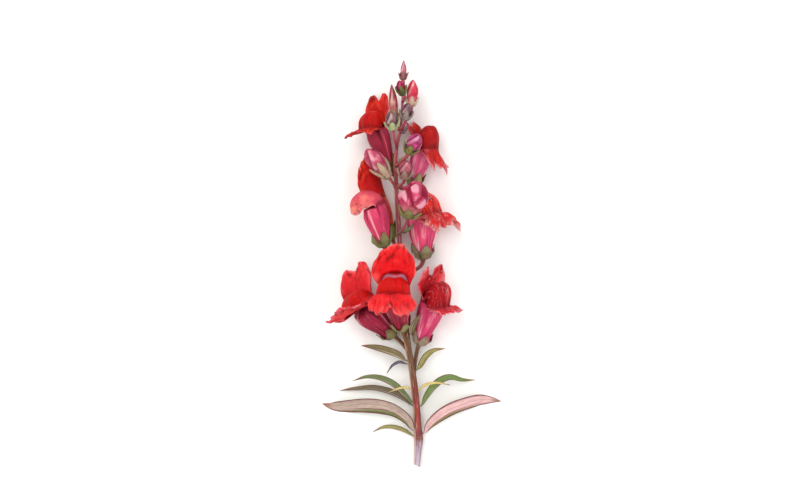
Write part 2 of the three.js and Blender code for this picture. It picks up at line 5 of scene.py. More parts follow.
import bpy
import numpy as np
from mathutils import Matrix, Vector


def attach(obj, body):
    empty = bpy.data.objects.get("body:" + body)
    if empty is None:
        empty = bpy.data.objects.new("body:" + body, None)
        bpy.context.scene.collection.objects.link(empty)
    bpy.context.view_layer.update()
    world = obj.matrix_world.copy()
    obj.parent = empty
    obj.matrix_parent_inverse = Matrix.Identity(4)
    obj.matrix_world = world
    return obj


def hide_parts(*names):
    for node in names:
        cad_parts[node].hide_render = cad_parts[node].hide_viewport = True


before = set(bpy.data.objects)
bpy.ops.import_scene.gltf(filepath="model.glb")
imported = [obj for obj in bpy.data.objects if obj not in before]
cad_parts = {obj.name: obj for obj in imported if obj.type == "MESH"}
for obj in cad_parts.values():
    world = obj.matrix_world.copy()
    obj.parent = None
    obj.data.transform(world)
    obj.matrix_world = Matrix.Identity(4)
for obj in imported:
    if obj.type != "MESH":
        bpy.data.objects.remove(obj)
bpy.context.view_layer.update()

MM = 0.001  # sizes below are in millimetres, meshes in metres
PETAL = 0.7  # thickness of the solid petals, sepals and leaves, by which pieces lie and fit together
SEPAL = 0.7
BLADE = 0.75
SEAT = 0.3  # gap between two pieces that touch

# ---------------------------------------------------------------- numbers and vectors


def rise(start, end, x):
    """0 up to start, 1 from end on, and straight between."""
    return np.clip((x - start) / (end - start), 0, 1)


def smooth(start, end, x):
    """The same, but soft at both ends."""
    t = rise(start, end, x)
    return t * t * (3 - 2 * t)


def mix(a, b, t):
    return a + (b - a) * t


def bump(x, width):
    """1 at 0, falling away on both sides over a width."""
    return np.exp(-((x / width) ** 2))


def unit(vectors):
    return vectors / np.maximum(np.linalg.norm(vectors, axis=-1, keepdims=True), 1e-12)


def points_of(*measures):
    """Points from their measures in x, y and z."""
    return np.stack(np.broadcast_arrays(*measures), -1)


def around(count):
    """Angles at even steps round a ring."""
    return 2 * np.pi * np.arange(count) / count


def beside(points, across, aside, over, lift):
    """For each point of a line a row of points, moved aside and lifted from it."""
    return points[:, None] + across[:, None] * aside[..., None] + over[:, None] * lift[..., None]


def between(a, b, start, end, t):
    """The place at t on the line from a, at start, to b, at end."""
    return ((end - t) * a + (t - start) * b) / (end - start)


def curve(points, steps):
    """Points at even steps of a smooth curve through the given ones (centripetal Catmull-Rom)."""
    points = np.asarray(points, float)
    line = np.vstack([2 * points[0] - points[1], points, 2 * points[-1] - points[-2]])
    found = []
    for place in np.linspace(0, len(points) - 1, steps + 1):
        start = min(int(place), len(points) - 2)
        near = line[start:start + 4]
        knots = np.append(0, np.cumsum(np.linalg.norm(np.diff(near, axis=0), axis=1) ** 0.5))
        t = mix(knots[1], knots[2], place - start)
        sides = [between(near[k], near[k + 1], knots[k], knots[k + 1], t) for k in range(3)]
        halves = [between(sides[k], sides[k + 1], knots[k], knots[k + 2], t) for k in range(2)]
        found.append(between(*halves, knots[1], knots[2], t))
    return np.array(found)


def headings(points):
    """Direction of a line of points at each of them."""
    return unit(np.vstack([points[1] - points[0], points[2:] - points[:-2], points[-1] - points[-2]]))


def rest(points, thickness):
    """What sags to the surface lies flat on it."""
    points[..., 2] = np.maximum(points[..., 2], thickness / 2)
    return points


# ---------------------------------------------------------------- meshes


def grid_faces(rows, columns, wrapped):
    """Faces of a grid of vertices, row by row."""
    i, j = np.meshgrid(np.arange(rows - 1), np.arange(columns - (not wrapped)), indexing="ij")
    k = (j + 1) % columns
    corners = [i * columns + j, i * columns + k, (i + 1) * columns + k, (i + 1) * columns + j]
    return np.stack(corners, -1).reshape(-1, 4)


def surface_normals(middle, wrapped):
    """Normal of a surface at each point of its grid."""
    points = middle.reshape(-1, 3)
    faces = grid_faces(*middle.shape[:2], wrapped)
    a, b, c, d = points[faces].transpose(1, 0, 2)
    normals = np.zeros_like(points)
    for corner in range(4):
        np.add.at(normals, faces[:, corner], np.cross(c - a, d - b))
    return unit(normals).reshape(middle.shape)


def volume(points, faces):
    """Six times the volume between faces and the origin, above 0 where they point outwards."""
    first, *others = points[faces].transpose(1, 0, 2)
    return sum((first * np.cross(others[k], others[k + 1])).sum() for k in range(len(others) - 1))


def add(name, data):
    """Puts an object into the scene."""
    made = bpy.data.objects.new(name, data)
    bpy.context.scene.collection.objects.link(made)
    return made


def closed_mesh(name, points, groups, marks):
    """A closed smooth piece with its faces outwards. Points are in millimetres, with marks on them."""
    if sum(volume(points, faces) for faces in groups) < 0:
        groups = [faces[:, ::-1] for faces in groups]
    mesh = bpy.data.meshes.new(name)
    mesh.from_pydata((points * MM).tolist(), [], [face for faces in groups for face in faces.tolist()])
    for mark, values in marks.items():
        kind, field = ("FLOAT", "value") if values.ndim == 1 else ("FLOAT_VECTOR", "vector")
        mesh.attributes.new(mark, kind, "POINT").data.foreach_set(field, values.astype(np.float32).ravel())
    mesh.polygons.foreach_set("use_smooth", [True] * len(mesh.polygons))
    return add(name, mesh)


def flat_marks(marks, shape):
    """Marks spread over a grid, as one list of numbers or vectors for each."""
    return {
        mark: np.broadcast_to(values, (*shape, *values.shape[2:])).reshape(-1, *values.shape[2:])
        for mark, values in marks.items()
    }


def sheet(name, middle, thickness, marks, wrapped=False, pole=None):
    """A closed thin sheet round its middle surface. A wrapped one is a funnel closed by its pole.

    The mark "inner" is 1 on the side of a funnel's hollow, and on a leaf's upper side.
    """
    rows, columns = middle.shape[:2]
    normals = surface_normals(middle, wrapped).reshape(-1, 3)
    points = middle.reshape(-1, 3)
    half = np.broadcast_to(thickness / 2, (rows, columns)).reshape(-1, 1)
    marks = flat_marks(marks, (rows, columns))
    here = np.arange(columns)
    last = (rows - 1) * columns
    if wrapped:
        after = (here + 1) % columns
        points = np.vstack([points, pole])
        normals = np.vstack([normals, unit(pole - middle[0].mean(0))])
        half = np.vstack([half, half[:1]])
        marks = {mark: np.concatenate([values, values[:1]]) for mark, values in marks.items()}
        closing = [np.stack([np.full(columns, rows * columns), after, here], -1)]
        edges = np.stack([last + after, last + here], -1)
    else:
        down = columns * np.arange(rows)
        loop = np.concatenate([here, down[1:] + columns - 1, last + here[:-1][::-1], down[:-1][::-1]])
        closing = []
        edges = np.stack([loop[:-1], loop[1:]], -1)
    count = len(points)
    top = [grid_faces(rows, columns, wrapped), *closing]
    bottom = [faces[:, ::-1] + count for faces in top]
    walls = np.stack([edges[:, 1], edges[:, 0], edges[:, 0] + count, edges[:, 1] + count], -1)
    both = np.vstack([points + normals * half, points - normals * half])
    marks = {mark: np.concatenate([values, values]) for mark, values in marks.items()}
    marks["inner"] = np.repeat([0.0, 1.0], count)
    return closed_mesh(name, both, [*top, *bottom, walls], marks)


def round_body(name, rings, first, last, marks):
    """A closed round body through rings of points, closed by a pole at each end."""
    rows, columns = rings.shape[:2]
    points = np.vstack([rings.reshape(-1, 3), first, last])
    marks = flat_marks(marks, (rows, columns))
    marks = {mark: np.concatenate([values, values[:1], values[-1:]]) for mark, values in marks.items()}
    here = np.arange(columns)
    after = (here + 1) % columns
    end = (rows - 1) * columns
    base = np.stack([np.full(columns, rows * columns), after, here], -1)
    tip = np.stack([np.full(columns, rows * columns + 1), end + here, end + after], -1)
    return closed_mesh(name, points, [grid_faces(rows, columns, True), base, tip], marks)


# ---------------------------------------------------------------- shader maths


class Value:
    """A value that varies over a surface. Arithmetic on it adds Math nodes."""

    def __init__(self, finish, socket):
        self.finish = finish
        self.socket = socket

    def output(self, name):
        return Value(self.finish, self.socket.node.outputs[name])

    def math(self, operation, *others):
        inputs = dict(enumerate([self, *others]))
        return self.finish.node("ShaderNodeMath", {"operation": operation}, inputs)

    def __add__(self, other):
        return self.math("ADD", other)

    def __sub__(self, other):
        return self.math("SUBTRACT", other)

    def __mul__(self, other):
        return self.math("MULTIPLY", other)

    def __rsub__(self, other):
        return self.finish.node("ShaderNodeMath", {"operation": "SUBTRACT"}, {0: other, 1: self})

    __radd__ = __add__
    __rmul__ = __mul__

    def step(self, start, end):
        """0 up to start, 1 from end on, and smooth between. Where end is the lower one, it counts down."""
        settings = {"interpolation_type": "SMOOTHSTEP"}
        return self.finish.node("ShaderNodeMapRange", settings, {"Value": self, 1: start, 2: end})


class Finish:
    """A material, and the values worked out in it."""

    def __init__(self, name, **fixed):
        self.material = bpy.data.materials.new(name)
        self.material.use_nodes = True
        self.tree = self.material.node_tree
        self.shader = self.tree.nodes["Principled BSDF"]
        for socket, value in fixed.items():
            self.shader.inputs[socket.replace("_", " ")].default_value = value

    def node(self, kind, settings=None, inputs=None):
        """Adds a node, sets it up, gives its sockets their values or links, and returns its first output."""
        node = self.tree.nodes.new(kind)
        for setting, value in (settings or {}).items():
            if setting == "stops":
                while len(node.color_ramp.elements) < len(value):
                    node.color_ramp.elements.new(0.5)
                for element, (place, colour) in zip(node.color_ramp.elements, value):
                    element.position = place
                    element.color = colour
            else:
                setattr(node, setting, value)
        for socket, value in (inputs or {}).items():
            if isinstance(value, Value):
                self.tree.links.new(value.socket, node.inputs[socket])
            else:
                node.inputs[socket].default_value = value
        return Value(self, next(output for output in node.outputs if output.enabled))

    def marks(self, *names):
        """Marks stored on the piece's points, as numbers."""
        return [self.node("ShaderNodeAttribute", {"attribute_name": name}).output("Fac") for name in names]

    def ring(self):
        """The mark that runs round and along a tube, a bud or a stem."""
        return self.node("ShaderNodeAttribute", {"attribute_name": "ring"}).output("Vector")

    def blend(self, first, second, share):
        """Between two colours."""
        return self.node("ShaderNodeMix", {"data_type": "RGBA"}, {0: share, 6: first, 7: second})

    def coats(self, colour, *coats):
        """A colour under coats of others. Each has the share that it covers."""
        for coat, share in coats:
            colour = self.blend(colour, coat, share)
        return colour

    def ramp(self, value, colours):
        """Colours given as codes at their places, and blended between."""
        stops = [(place, paint(code)) for place, code in colours.items()]
        return self.node("ShaderNodeValToRGB", {"stops": stops}, {"Fac": value})

    def vector(self, x, y, z=0.0):
        return self.node("ShaderNodeCombineXYZ", None, {0: x, 1: y, 2: z})

    def scaled(self, vector, sides, height):
        """A vector whose first two parts are multiplied by sides and the third by height."""
        inputs = {0: vector, 1: (sides, sides, height)}
        return self.node("ShaderNodeVectorMath", {"operation": "MULTIPLY"}, inputs)

    def noise(self, vector, scale, detail, roughness, distortion=0.0):
        """Noise round 0.5, at a scale, along a vector."""
        inputs = {"Vector": vector, "Scale": scale, "Detail": detail, "Roughness": roughness,
                  "Distortion": distortion}
        return self.node("ShaderNodeTexNoise", None, inputs)

    def speckle(self, scale, detail=3.0, roughness=0.55):
        """Noise through the piece's own space, whose scale is to a metre."""
        place = self.node("ShaderNodeTexCoord").output("Object")
        return self.noise(place, scale, detail, roughness)

    def feed(self, socket, value):
        self.tree.links.new(value.socket, self.shader.inputs[socket])

    def shaded(self, colour, tone):
        """A colour made lighter or darker by tone, in which 1 leaves it as it is."""
        return self.node("ShaderNodeHueSaturation", None, {"Color": colour, "Value": tone})

    def done(self, colour, roughness, height, depth):
        """Feeds the shader and returns the material. depth is that of a height of 1, in millimetres."""
        self.feed("Base Color", colour)
        self.feed("Roughness", roughness)
        inputs = {"Height": height, "Distance": depth * MM, "Strength": 1.0}
        self.feed("Normal", self.node("ShaderNodeBump", None, inputs))
        return self.material


def living(name, glow, through, gloss):
    """A finish of plant matter, which lets light through: each of red, green and blue by its own depth."""
    return Finish(name, Subsurface_Weight=glow, Subsurface_Radius=through, Subsurface_Scale=MM,
                  Specular_IOR_Level=gloss)


def paint(code):
    """Linear colour of a six-digit hex code."""
    parts = [int(code[k:k + 2], 16) / 255 for k in (0, 2, 4)]
    return (*(p / 12.92 if p <= 0.04045 else ((p + 0.055) / 1.055) ** 2.4 for p in parts), 1.0)


def paints(codes):
    return [paint(code) for code in codes.split()]


UPPER_ACROSS = 3.0  # the mark "across" in the middle of the upper lip. In that of the lower it is 0


def petal_finish(name, streak, codes):
    """Velvet petal: washed and streaked lips, a glowing palate, a mouth dark with painted shade, and a
    striped tube.

    streak says how strongly the pale streaks show.
    """
    lip, rim, palate, deep, back, tube, stripe, pale, brow = paints(codes)
    finish = living(f"petal_{name}", 0.08, (1.0, 0.2, 0.15), 0.12)
    across, along, depth, ball = finish.marks("across", "lip", "tube", "palate")
    curl, arch, fold, inner = finish.marks("curl", "arch", "fold", "inner")
    mottle = finish.speckle(190, 4)
    wash = finish.speckle(85, 4, 0.6)
    fuzz = finish.speckle(1900, 2)
    sway = across + wash * 0.5 + mottle * 0.12
    streaks = finish.noise(finish.vector(sway * 6, along * 1.4, mottle * 0.8), 2.0, 5, 0.65)
    veins = finish.noise(finish.vector(sway * 15, along * 2.6, mottle * 1.6), 2.0, 4, 0.65, 0.6)
    stripes = finish.noise(finish.scaled(finish.ring(), 1.3, 0.45), 1.7, 4, 0.55)
    fine = finish.noise(finish.scaled(finish.ring(), 6.0, 1.2), 2.2, 4, 0.6)
    # cheek: the sides of both lips away from their roots, where pale is painted on as a highlight
    cheek = across.math("PINGPONG", UPPER_ACROSS / 2).step(0.5, 1.0) * along.step(0.1, 0.5)

    # the palate
    cushion = finish.coats(
        palate,
        (deep, streaks.step(0.5, 0.32) * 0.65),
        (rim, wash.step(0.52, 0.7) * 0.6),
        (pale, veins.step(0.56, 0.7) * streak * 0.9),
    )
    # the inner faces of both lips, with the palate on the lower one, painted shade in the folds, round the
    # palate, under the arch and in the throat, and painted highlights on fold crests, the lips' sides and the
    # curled edge
    face = finish.coats(
        lip,
        (rim, wash.step(0.5, 0.68) * 0.55),
        (deep, (wash + streaks - 0.5).step(0.5, 0.28) * 0.32),
        # painted highlight: pale on the sides of the lips
        (pale, cheek * wash.step(0.4, 0.58) * 0.35),
        (rim, along.step(0.6, 1.0) * streaks.step(0.35, 0.62) * 0.8),
        # painted shade in the troughs of the crumples, and a painted highlight on their crests
        (deep, fold.step(0.4, 0.05) * 0.6),
        (rim, fold.step(0.65, 1.0) * 0.5),
        (deep, veins.step(0.46, 0.3) * 0.26),
        (pale, along.step(0.25, 0.8) * veins.step(0.56, 0.68) * streak),
        (cushion, ball),
        # painted shade where the palate meets the rest of the lip: inside the mouth and in the crease under
        # it
        (deep, ball * (1 - ball) * 2.4),
        (pale, along.step(0.88, 1.0) * streaks.step(0.35, 0.6) * 0.5),
        # painted shade under the arch of the upper lip
        (deep, arch.step(0.35, 0.95) * 0.8),
        # painted lilac highlight on the curled edge under the arch
        (brow, curl.step(0.3, 0.85) * (0.2 + streaks)),
        # painted shade in the throat: the whole inside of the tube and the roots of the lips
        (deep, along.step(0.2, 0.02)),
    )
    # the tube from outside
    wall = finish.coats(
        tube,
        (stripe, stripes.step(0.52, 0.66) * 0.85),
        (pale, stripes.step(0.46, 0.33) * 0.8),
        (stripe, fine.step(0.54, 0.72) * 0.4),
        (pale, fine.step(0.42, 0.28) * 0.2),
        (stripe, depth.step(0.3, 0.0) * 0.3),
    )
    # outside, the tube and then the backs of the lips, with a ring of painted shade where they meet, and
    # inside their faces
    colour = finish.coats(
        wall,
        (finish.blend(face, back, 0.5 - 0.35 * along.step(0.2, 0.9) - ball * 0.5),
         (along + mottle * 0.12 - 0.06).step(0.02, 0.2)),
        # painted shade in the crease where the lips leave the tube
        (deep, (along - 0.07).math("ABSOLUTE").step(0.07, 0.01) * 0.6),
        (face, inner.step(0.45, 0.55)),
    )
    colour = finish.shaded(colour, 0.63 + 0.34 * mottle + 0.4 * wash)
    return finish.done(colour, 0.5 + 0.2 * streaks, veins * 0.5 + fine * 0.3 + fuzz * 0.35, 0.35)


def bud_finish(name, codes):
    """Closed petals: satin, streaked lengthwise, pale towards the base, with a painted highlight on their
    rolled edges and painted shade in the grooves.
    """
    main, shade, pale, base = paints(codes)
    finish = living(f"bud_{name}", 0.1, (1.0, 0.3, 0.25), 0.2)
    depth, fold, groove = finish.marks("tube", "fold", "groove")
    mottle = finish.speckle(260, 4)
    patch = finish.speckle(170, 4, 0.6)
    fuzz = finish.speckle(2300, 2)
    streaks = finish.noise(finish.scaled(finish.ring(), 4.5, 1.2), 2.0, 5, 0.65)
    colour = finish.coats(
        main,
        (shade, (streaks + patch - 0.5).step(0.45, 0.66) * 0.9),
        (pale, (streaks + patch - 0.5).step(0.4, 0.24) * 0.6),
        # painted highlight on the rolled edges, painted shade in the grooves
        (pale, fold.step(0.7, 1.0) * 0.6),
        (shade, groove * 0.85),
        (base, (depth + mottle * 0.2 - 0.1).step(0.4, 0.05)),
    )
    colour = finish.shaded(colour, 0.7 + 0.45 * mottle)
    return finish.done(colour, 0.42 + 0.2 * streaks, streaks * 0.6 + fuzz * 0.3, 0.3)


def sepal_finish(name, codes):
    """Downy sepal with a paler keel, darker tips and brown-mauve patches."""
    main, edge, shade = paints(codes)
    finish = living(f"sepal_{name}", 0.06, (0.5, 0.8, 0.3), 0.2)
    keel, along = finish.marks("keel", "along")
    mottle = finish.speckle(420, 5, 0.65)
    patch = finish.speckle(210, 4, 0.6)
    fuzz = finish.speckle(1500, 3)
    colour = finish.coats(
        shade,
        (main, (mottle + keel * 0.35).step(0.42, 0.72)),
        (edge, patch.step(0.5, 0.64) * 0.7),
        (edge, (along * (1.15 - keel * 0.5) + mottle * 0.3 - 0.15).step(0.5, 0.95)),
    )
    colour = finish.shaded(colour, 0.7 + 0.5 * mottle)
    return finish.done(colour, 0.5 + 0.2 * mottle, fuzz * 0.6 + keel * 0.6, 0.3)


def leaf_finish(name, codes, strip=None, side=1, start=0.5):
    """Narrow leaf: midrib and side veins, a coloured margin and tip, another colour beneath.

    strip is the colour of a band along one margin, side says which, and start where it begins.
    """
    upper, lower, margin, tip, shade = paints(codes)
    finish = living(f"leaf_{name}", 0.08, (0.5, 0.9, 0.3), 0.25)
    across, along, inner = finish.marks("across", "along", "inner")
    off = across.math("ABSOLUTE")
    mottle = finish.speckle(260, 5, 0.6)
    grain = finish.noise(finish.vector(across * 7, along * 3), 2.4, 4, 0.65)
    slant = (along * 15 - off * 1.6 + mottle * 0.8).math("FRACT")
    veins = (slant - 0.5).math("ABSOLUTE").step(0.12, 0.0) * off.step(0.95, 0.5)
    rib = off.step(0.09, 0.0)
    face = finish.blend(upper, shade, grain.step(0.42, 0.6) * 0.85)
    if strip:
        band = across * side + mottle * 0.3 - 0.15
        near = along.step(0.8, 0.35)
        face = finish.coats(
            face,
            (paint(strip), band.step(start, start + 0.14) * near),
            (margin, (band - start).math("ABSOLUTE").step(0.12, 0.02) * near * 0.8),
        )
    colour = finish.coats(
        finish.blend(lower, shade, grain.step(0.5, 0.75) * 0.35),
        (face, inner.step(0.45, 0.55)),
        (shade, veins * 0.25),
        (lower, rib * 0.45),
        (margin, (off + mottle * 0.3 - 0.15).step(0.62, 0.92) * 0.9),
        (tip, (along + mottle * 0.1 - 0.05).step(0.8, 1.0) * 0.85),
    )
    colour = finish.shaded(colour, 0.72 + 0.5 * mottle)
    return finish.done(colour, 0.42 + 0.2 * mottle, 0.5 - veins * 0.25 + grain * 0.3 - rib * 0.4, 0.3)


# Colours of the rind, from 0 at the cut end to 1 at the tip.
RIND_COLOURS = {
    0.0: "c2aebb", 0.05: "a48c9a", 0.075: "7c3a42", 0.12: "983634", 0.19: "84382f", 0.25: "6e4a32",
    0.36: "70482c", 0.43: "74382e", 0.6: "8a3e48", 0.8: "ae424e", 1.0: "b8586a",
}


def stem_finish():
    """Red-brown rind with fine lengthwise ribs, a painted highlight along one side and painted shade along
    the other, fading to mauve grey at the cut end.
    """
    light, dark, dry, green = paints("e0c4ac 3c1c18 d8b4a0 7c7c40")
    finish = living("rind_red_brown", 0.05, (0.8, 0.4, 0.3), 0.25)
    [height] = finish.marks("height")
    mottle = finish.speckle(330, 5, 0.6)
    fuzz = finish.speckle(1700, 3)
    ribs = finish.noise(finish.scaled(finish.ring(), 2.2, 5.0), 1.6, 5, 0.6)
    # side runs across the stem, from the side with painted shade to the side with a painted highlight
    side = finish.node("ShaderNodeSeparateXYZ", None, {0: finish.ring()}) + mottle * 0.4 - 0.2
    colour = finish.coats(
        finish.ramp(height + mottle * 0.06 - 0.03, RIND_COLOURS),
        # painted highlight along one side, painted shade along the other
        (light, side.step(0.55, 0.85) * 0.45),
        (dark, side.step(-0.4, -0.85) * 0.4),
        (dark, ribs.step(0.52, 0.68) * 0.7),
        (dry, ribs.step(0.45, 0.3) * 0.65),
        (green, mottle.step(0.56, 0.72) * 0.4),
    )
    return finish.done(colour, 0.4 + 0.25 * mottle, ribs * 0.7 + fuzz * 0.3, 0.25)


# ---------------------------------------------------------------- stem

# The stem's middle line with its radius: x, y, z, radius, from the cut end to the tip.
STEM = np.array([
    [3.2, -106, 2.3, 1.75], [3.7, -99, 2.35, 1.85], [4.1, -92.5, 2.4, 2.35], [3.6, -85, 2.8, 1.95],
    [3.1, -76, 3.7, 1.85], [2.0, -66, 4.8, 1.85], [0.2, -53, 6.2, 1.75], [-2.0, -40, 7.7, 1.7],
    [-3.6, -24, 9.3, 1.6], [-4.7, -9, 10.5, 1.5], [-5.7, 7, 11.3, 1.4], [-7.0, 28, 11.6, 1.25],
    [-7.8, 43, 11.2, 1.1], [-8.0, 53.5, 10.8, 1.0], [-7.2, 61.5, 10.5, 0.9], [-5.4, 70, 10.2, 0.8],
    [-4.6, 80, 9.9, 0.7], [-4.2, 90, 9.6, 0.6], [-4.0, 94, 9.5, 0.5],
])
STEM_STEPS = 320
STEM_SIDES = 32
CUT_SLANT = 0.5  # how far the cut end leans to each side, as a share of its radius
STEM_RIBS = 5
RIB_HEIGHT = 0.035  # as a share of its radius
RIND_REPEAT = 60  # length along which the mark "ring" grows by 1

stem_line = curve(STEM, STEM_STEPS)


def stem_at(y):
    """The stem's middle at a height."""
    return np.array([np.interp(y, stem_line[:, 1], stem_line[:, k]) for k in range(3)])


def rod(name, points, radii, sides, ribs=0.0, slant=0.0):
    """A closed rod round a line, with low lengthwise ribs. Its first end is cut at a slant."""
    along = headings(points)
    across = unit(np.cross([0, 0, 1], along))
    turn = around(sides)
    spread = radii[:, None] * (1 + ribs * np.cos(STEM_RIBS * turn))
    rings = beside(points, across, spread * np.cos(turn), np.cross(along, across), spread * np.sin(turn))
    rings[0] += along[0] * (slant * radii[0] * np.cos(turn))[:, None]
    travel = np.append(0, np.cumsum(np.linalg.norm(np.diff(points, axis=0), axis=1)))
    ring = points_of(np.cos(turn), np.sin(turn), travel[:, None] / RIND_REPEAT)
    height = (rings[..., 1] - STEM[0, 1]) / (STEM[-1, 1] - STEM[0, 1])
    return round_body(name, rings, points[0], points[-1], {"ring": ring, "height": height})


# ---------------------------------------------------------------- blooms

UPPER_SHARE = math.radians(72)  # half of the rim's angle that belongs to the upper lip
UPPER_COLUMNS = 72
LOWER_COLUMNS = 112
TUBE_ROWS = 18
LIP_ROWS = 56
WALK_STEPS = 10  # in which the upper lip's bent middle line is added up
MOUTH = 1.26  # half the width of the upper lip's root, as a share of the throat's radius
LOWER_HALF = 20  # half the width over which a lower lip's crumples are spread
HUMP = 1.2  # height of the palate's two humps
CLEFT = 0.09  # width of the clefts between the lobes
WAVES = 9  # that are added up for a crumpled surface
ARCH_SHADE = 2.0  # how far under the arch of the upper lip its painted shade lies
CLIMB_END = 0.16  # share of the lower lip's rows on which the palate climbs inside the mouth
BALL_END = 0.5  # where its round front ends
APRON_END = 0.56  # where its straight underside ends
TUCK_END = 0.64  # and where the crease under it ends, from which the lobes spread
TUCK = 1.3  # radius of that crease
PETAL_SKIN = 0.42  # thickness of a petal, thinning to its rim
RIM_SKIN = 0.2


def placed(bloom, local):
    """Places points given along a bloom's tube, up towards its upper lip, and sideways."""
    axis = unit(np.array(bloom["along"], float))
    up = np.array(bloom["up"], float)
    up = unit(up - axis * (up @ axis))
    return np.array(bloom["base"], float) + np.asarray(local) @ np.stack([axis, up, np.cross(axis, up)])


def tube_points(bloom, t, turn):
    """A corolla's tube, which narrows over a pouch at the base of its lower side."""
    under = np.maximum(0, -np.cos(turn))
    widening = 0.55 + 0.45 * smooth(0.05, 0.85, t)
    pouch = 0.15 * bump(t - 0.13, 0.12) * under
    close = np.sqrt(np.minimum(1, 0.3 + 5 * t)) - 0.14 * smooth(0.8, 1, t) * under
    radius = bloom["throat"] * (widening + pouch) * close
    over = mix(1, 0.94, t) * radius * np.cos(turn) + bloom["bend"] * t * t
    side = mix(1, 1.12, t) * radius * np.sin(turn)
    return points_of(bloom["tube"] * t, over, side)


def walk(lean, length, share):
    """Walks along a line that leans from the tube's direction towards up, as far as share of it."""
    forward = np.zeros_like(share)
    up = np.zeros_like(share)
    for k in range(WALK_STEPS):
        angle = np.radians(np.interp(share * (k + 0.5) / WALK_STEPS, [0, 0.5, 1], lean))
        forward = forward + length * share / WALK_STEPS * np.cos(angle)
        up = up + length * share / WALK_STEPS * np.sin(angle)
    return forward, up, np.radians(np.interp(share, [0, 0.5, 1], lean))


def crumple(across, along, seed, longest, shortest):
    """Irregular waves round 0 over a surface whose two measures are in millimetres."""
    draw = np.random.default_rng(seed)
    total = 0
    for k in range(WAVES):
        turn = draw.uniform(0, np.pi)
        pitch = 2 * np.pi / mix(longest, shortest, k / (WAVES - 1))
        total = total + np.sin(pitch * (across * np.cos(turn) + along * np.sin(turn)) + draw.uniform(0, 6.3))
    return total / math.sqrt(WAVES)


def upper_share(bloom, v, w):
    """How far along the upper lip's length a place lies, by its round or square outline."""
    lip = bloom["upper"]
    rim = (1 - lip["notch"] * bump(v, 0.2)) * (1 - np.abs(v) ** lip["square"]) ** 0.5
    return np.maximum(0.12, rim) * w


def brow_lines(bloom, v, share):
    """Two folds over the mouth: the arch of the upper lip, and the curled edge under it."""
    lip = bloom["upper"]
    reached = share * lip["length"]
    curled = 0.48 + 0.14 * bump(np.abs(v) - 0.35, 0.22) - 0.25 * v * v
    return bump(reached - lip["arch"] * (1 - 0.55 * v * v), 1.4), bump(reached - lip["arch"] * curled, 1.5)


def arc(half, wrap, v):
    """Side and depth on an arc of the given half length that turns by wrap on each side."""
    turn = wrap * v / 2
    return half * v * np.sinc(2 * turn / np.pi), half * v * turn * np.sinc(turn / np.pi) ** 2


def upper_lip(bloom, v, share):
    """Upper lip, v across from corner to corner of the mouth, share along from throat to rim."""
    lip = bloom["upper"]
    forward, up, angle = walk(lip["lean"], lip["length"], share)
    spread = smooth(0, 0.55, share)
    first_side, first_depth = arc(MOUTH * bloom["throat"], UPPER_SHARE, v)
    half = mix(MOUTH * bloom["throat"], lip["half"], spread)
    side, depth = arc(half, mix(UPPER_SHARE, math.radians(lip["wrap"]), spread), v)
    arch, curl = brow_lines(bloom, v, share)
    ridges = (lip["brow"] * arch + lip["curl"] * curl) * (1 - v ** 4)
    depth = depth + ridges - lip["wave"] * share * share * np.sin(7 * v + 1)
    facing = angle * smooth(0, 0.3, share)
    drop = lip["cheek"] * np.abs(v) ** 3 * spread
    forward = forward + depth * np.sin(facing)
    up = up - depth * np.cos(facing) + first_depth - drop
    return points_of(forward, up, side - first_side)


def lower_lip(bloom, v, w, ragged):
    """Lower lip: a palate that closes the mouth, the crease under it, and lobes that spread from there."""
    lip = bloom["lower"]
    throat = tube_points(bloom, 1.0, np.pi + v * (np.pi - UPPER_SHARE))
    corner = tube_points(bloom, 1.0, UPPER_SHARE)[1]
    inner = 1 - v * v
    full = 0.2 + 0.8 * np.sqrt(inner)
    humps = HUMP * (bump(v - 0.3, 0.2) + bump(v + 0.3, 0.2) - 0.15)
    climb = mix(lip["crest"] + humps, corner, v ** 4) - throat[..., 1]
    x = np.minimum(1, w / CLIMB_END)
    back, first, last = np.radians(lip["roll"])
    over = rise(CLIMB_END, BALL_END, w) * back
    apron = lip["apron"] * full * rise(BALL_END, APRON_END, w)
    tuck = mix(back, first, rise(APRON_END, TUCK_END, w))
    crease = TUCK * (0.3 + 0.7 * np.sqrt(inner))
    fall = rise(TUCK_END, 1, w)
    clefts = 1 - sum(deep * bump(v - place, CLEFT) for place, deep in lip["clefts"])
    outer = 1 + 0.25 * bump(np.abs(v) - 0.5, 0.25) - np.abs(v) ** 2.5
    travel = lip["length"] * clefts * ragged * np.maximum(0.08, outer) * fall
    angle = mix(first, last, fall)
    ripple = lip["wave"] * fall * np.sin(9 * v + 2)
    skirt = lip["skirt"] * travel * np.minimum(1, 4 * v * v)
    round_out = lip["round"] * full * (1 - np.cos(over)) + apron * np.sin(back)
    round_out = round_out + crease * (np.cos(tuck) - np.cos(back))
    lobe_out = travel * np.sin(angle) - ripple * np.cos(angle)
    forward = lip["reach"] * (0.3 + 0.7 * inner) * x + lip["front"] * full * np.sin(over)
    forward = forward + apron * np.cos(back) + crease * (np.sin(back) - np.sin(tuck)) + travel * np.cos(angle)
    forward = forward + ripple * np.sin(angle) - skirt
    narrow = np.radians(lip["swell"]) * v
    fanned = np.radians(lip["fan"]) * v
    crest_side = (lip["palate"] * np.sin(1.4 * v) / math.sin(1.4) - throat[..., 2]) * x * x
    up = climb * np.sin(np.pi / 2 * x) - round_out * np.cos(narrow) - lobe_out * np.cos(fanned)
    return points_of(forward, up, crest_side + round_out * np.sin(narrow) + lobe_out * np.sin(fanned))


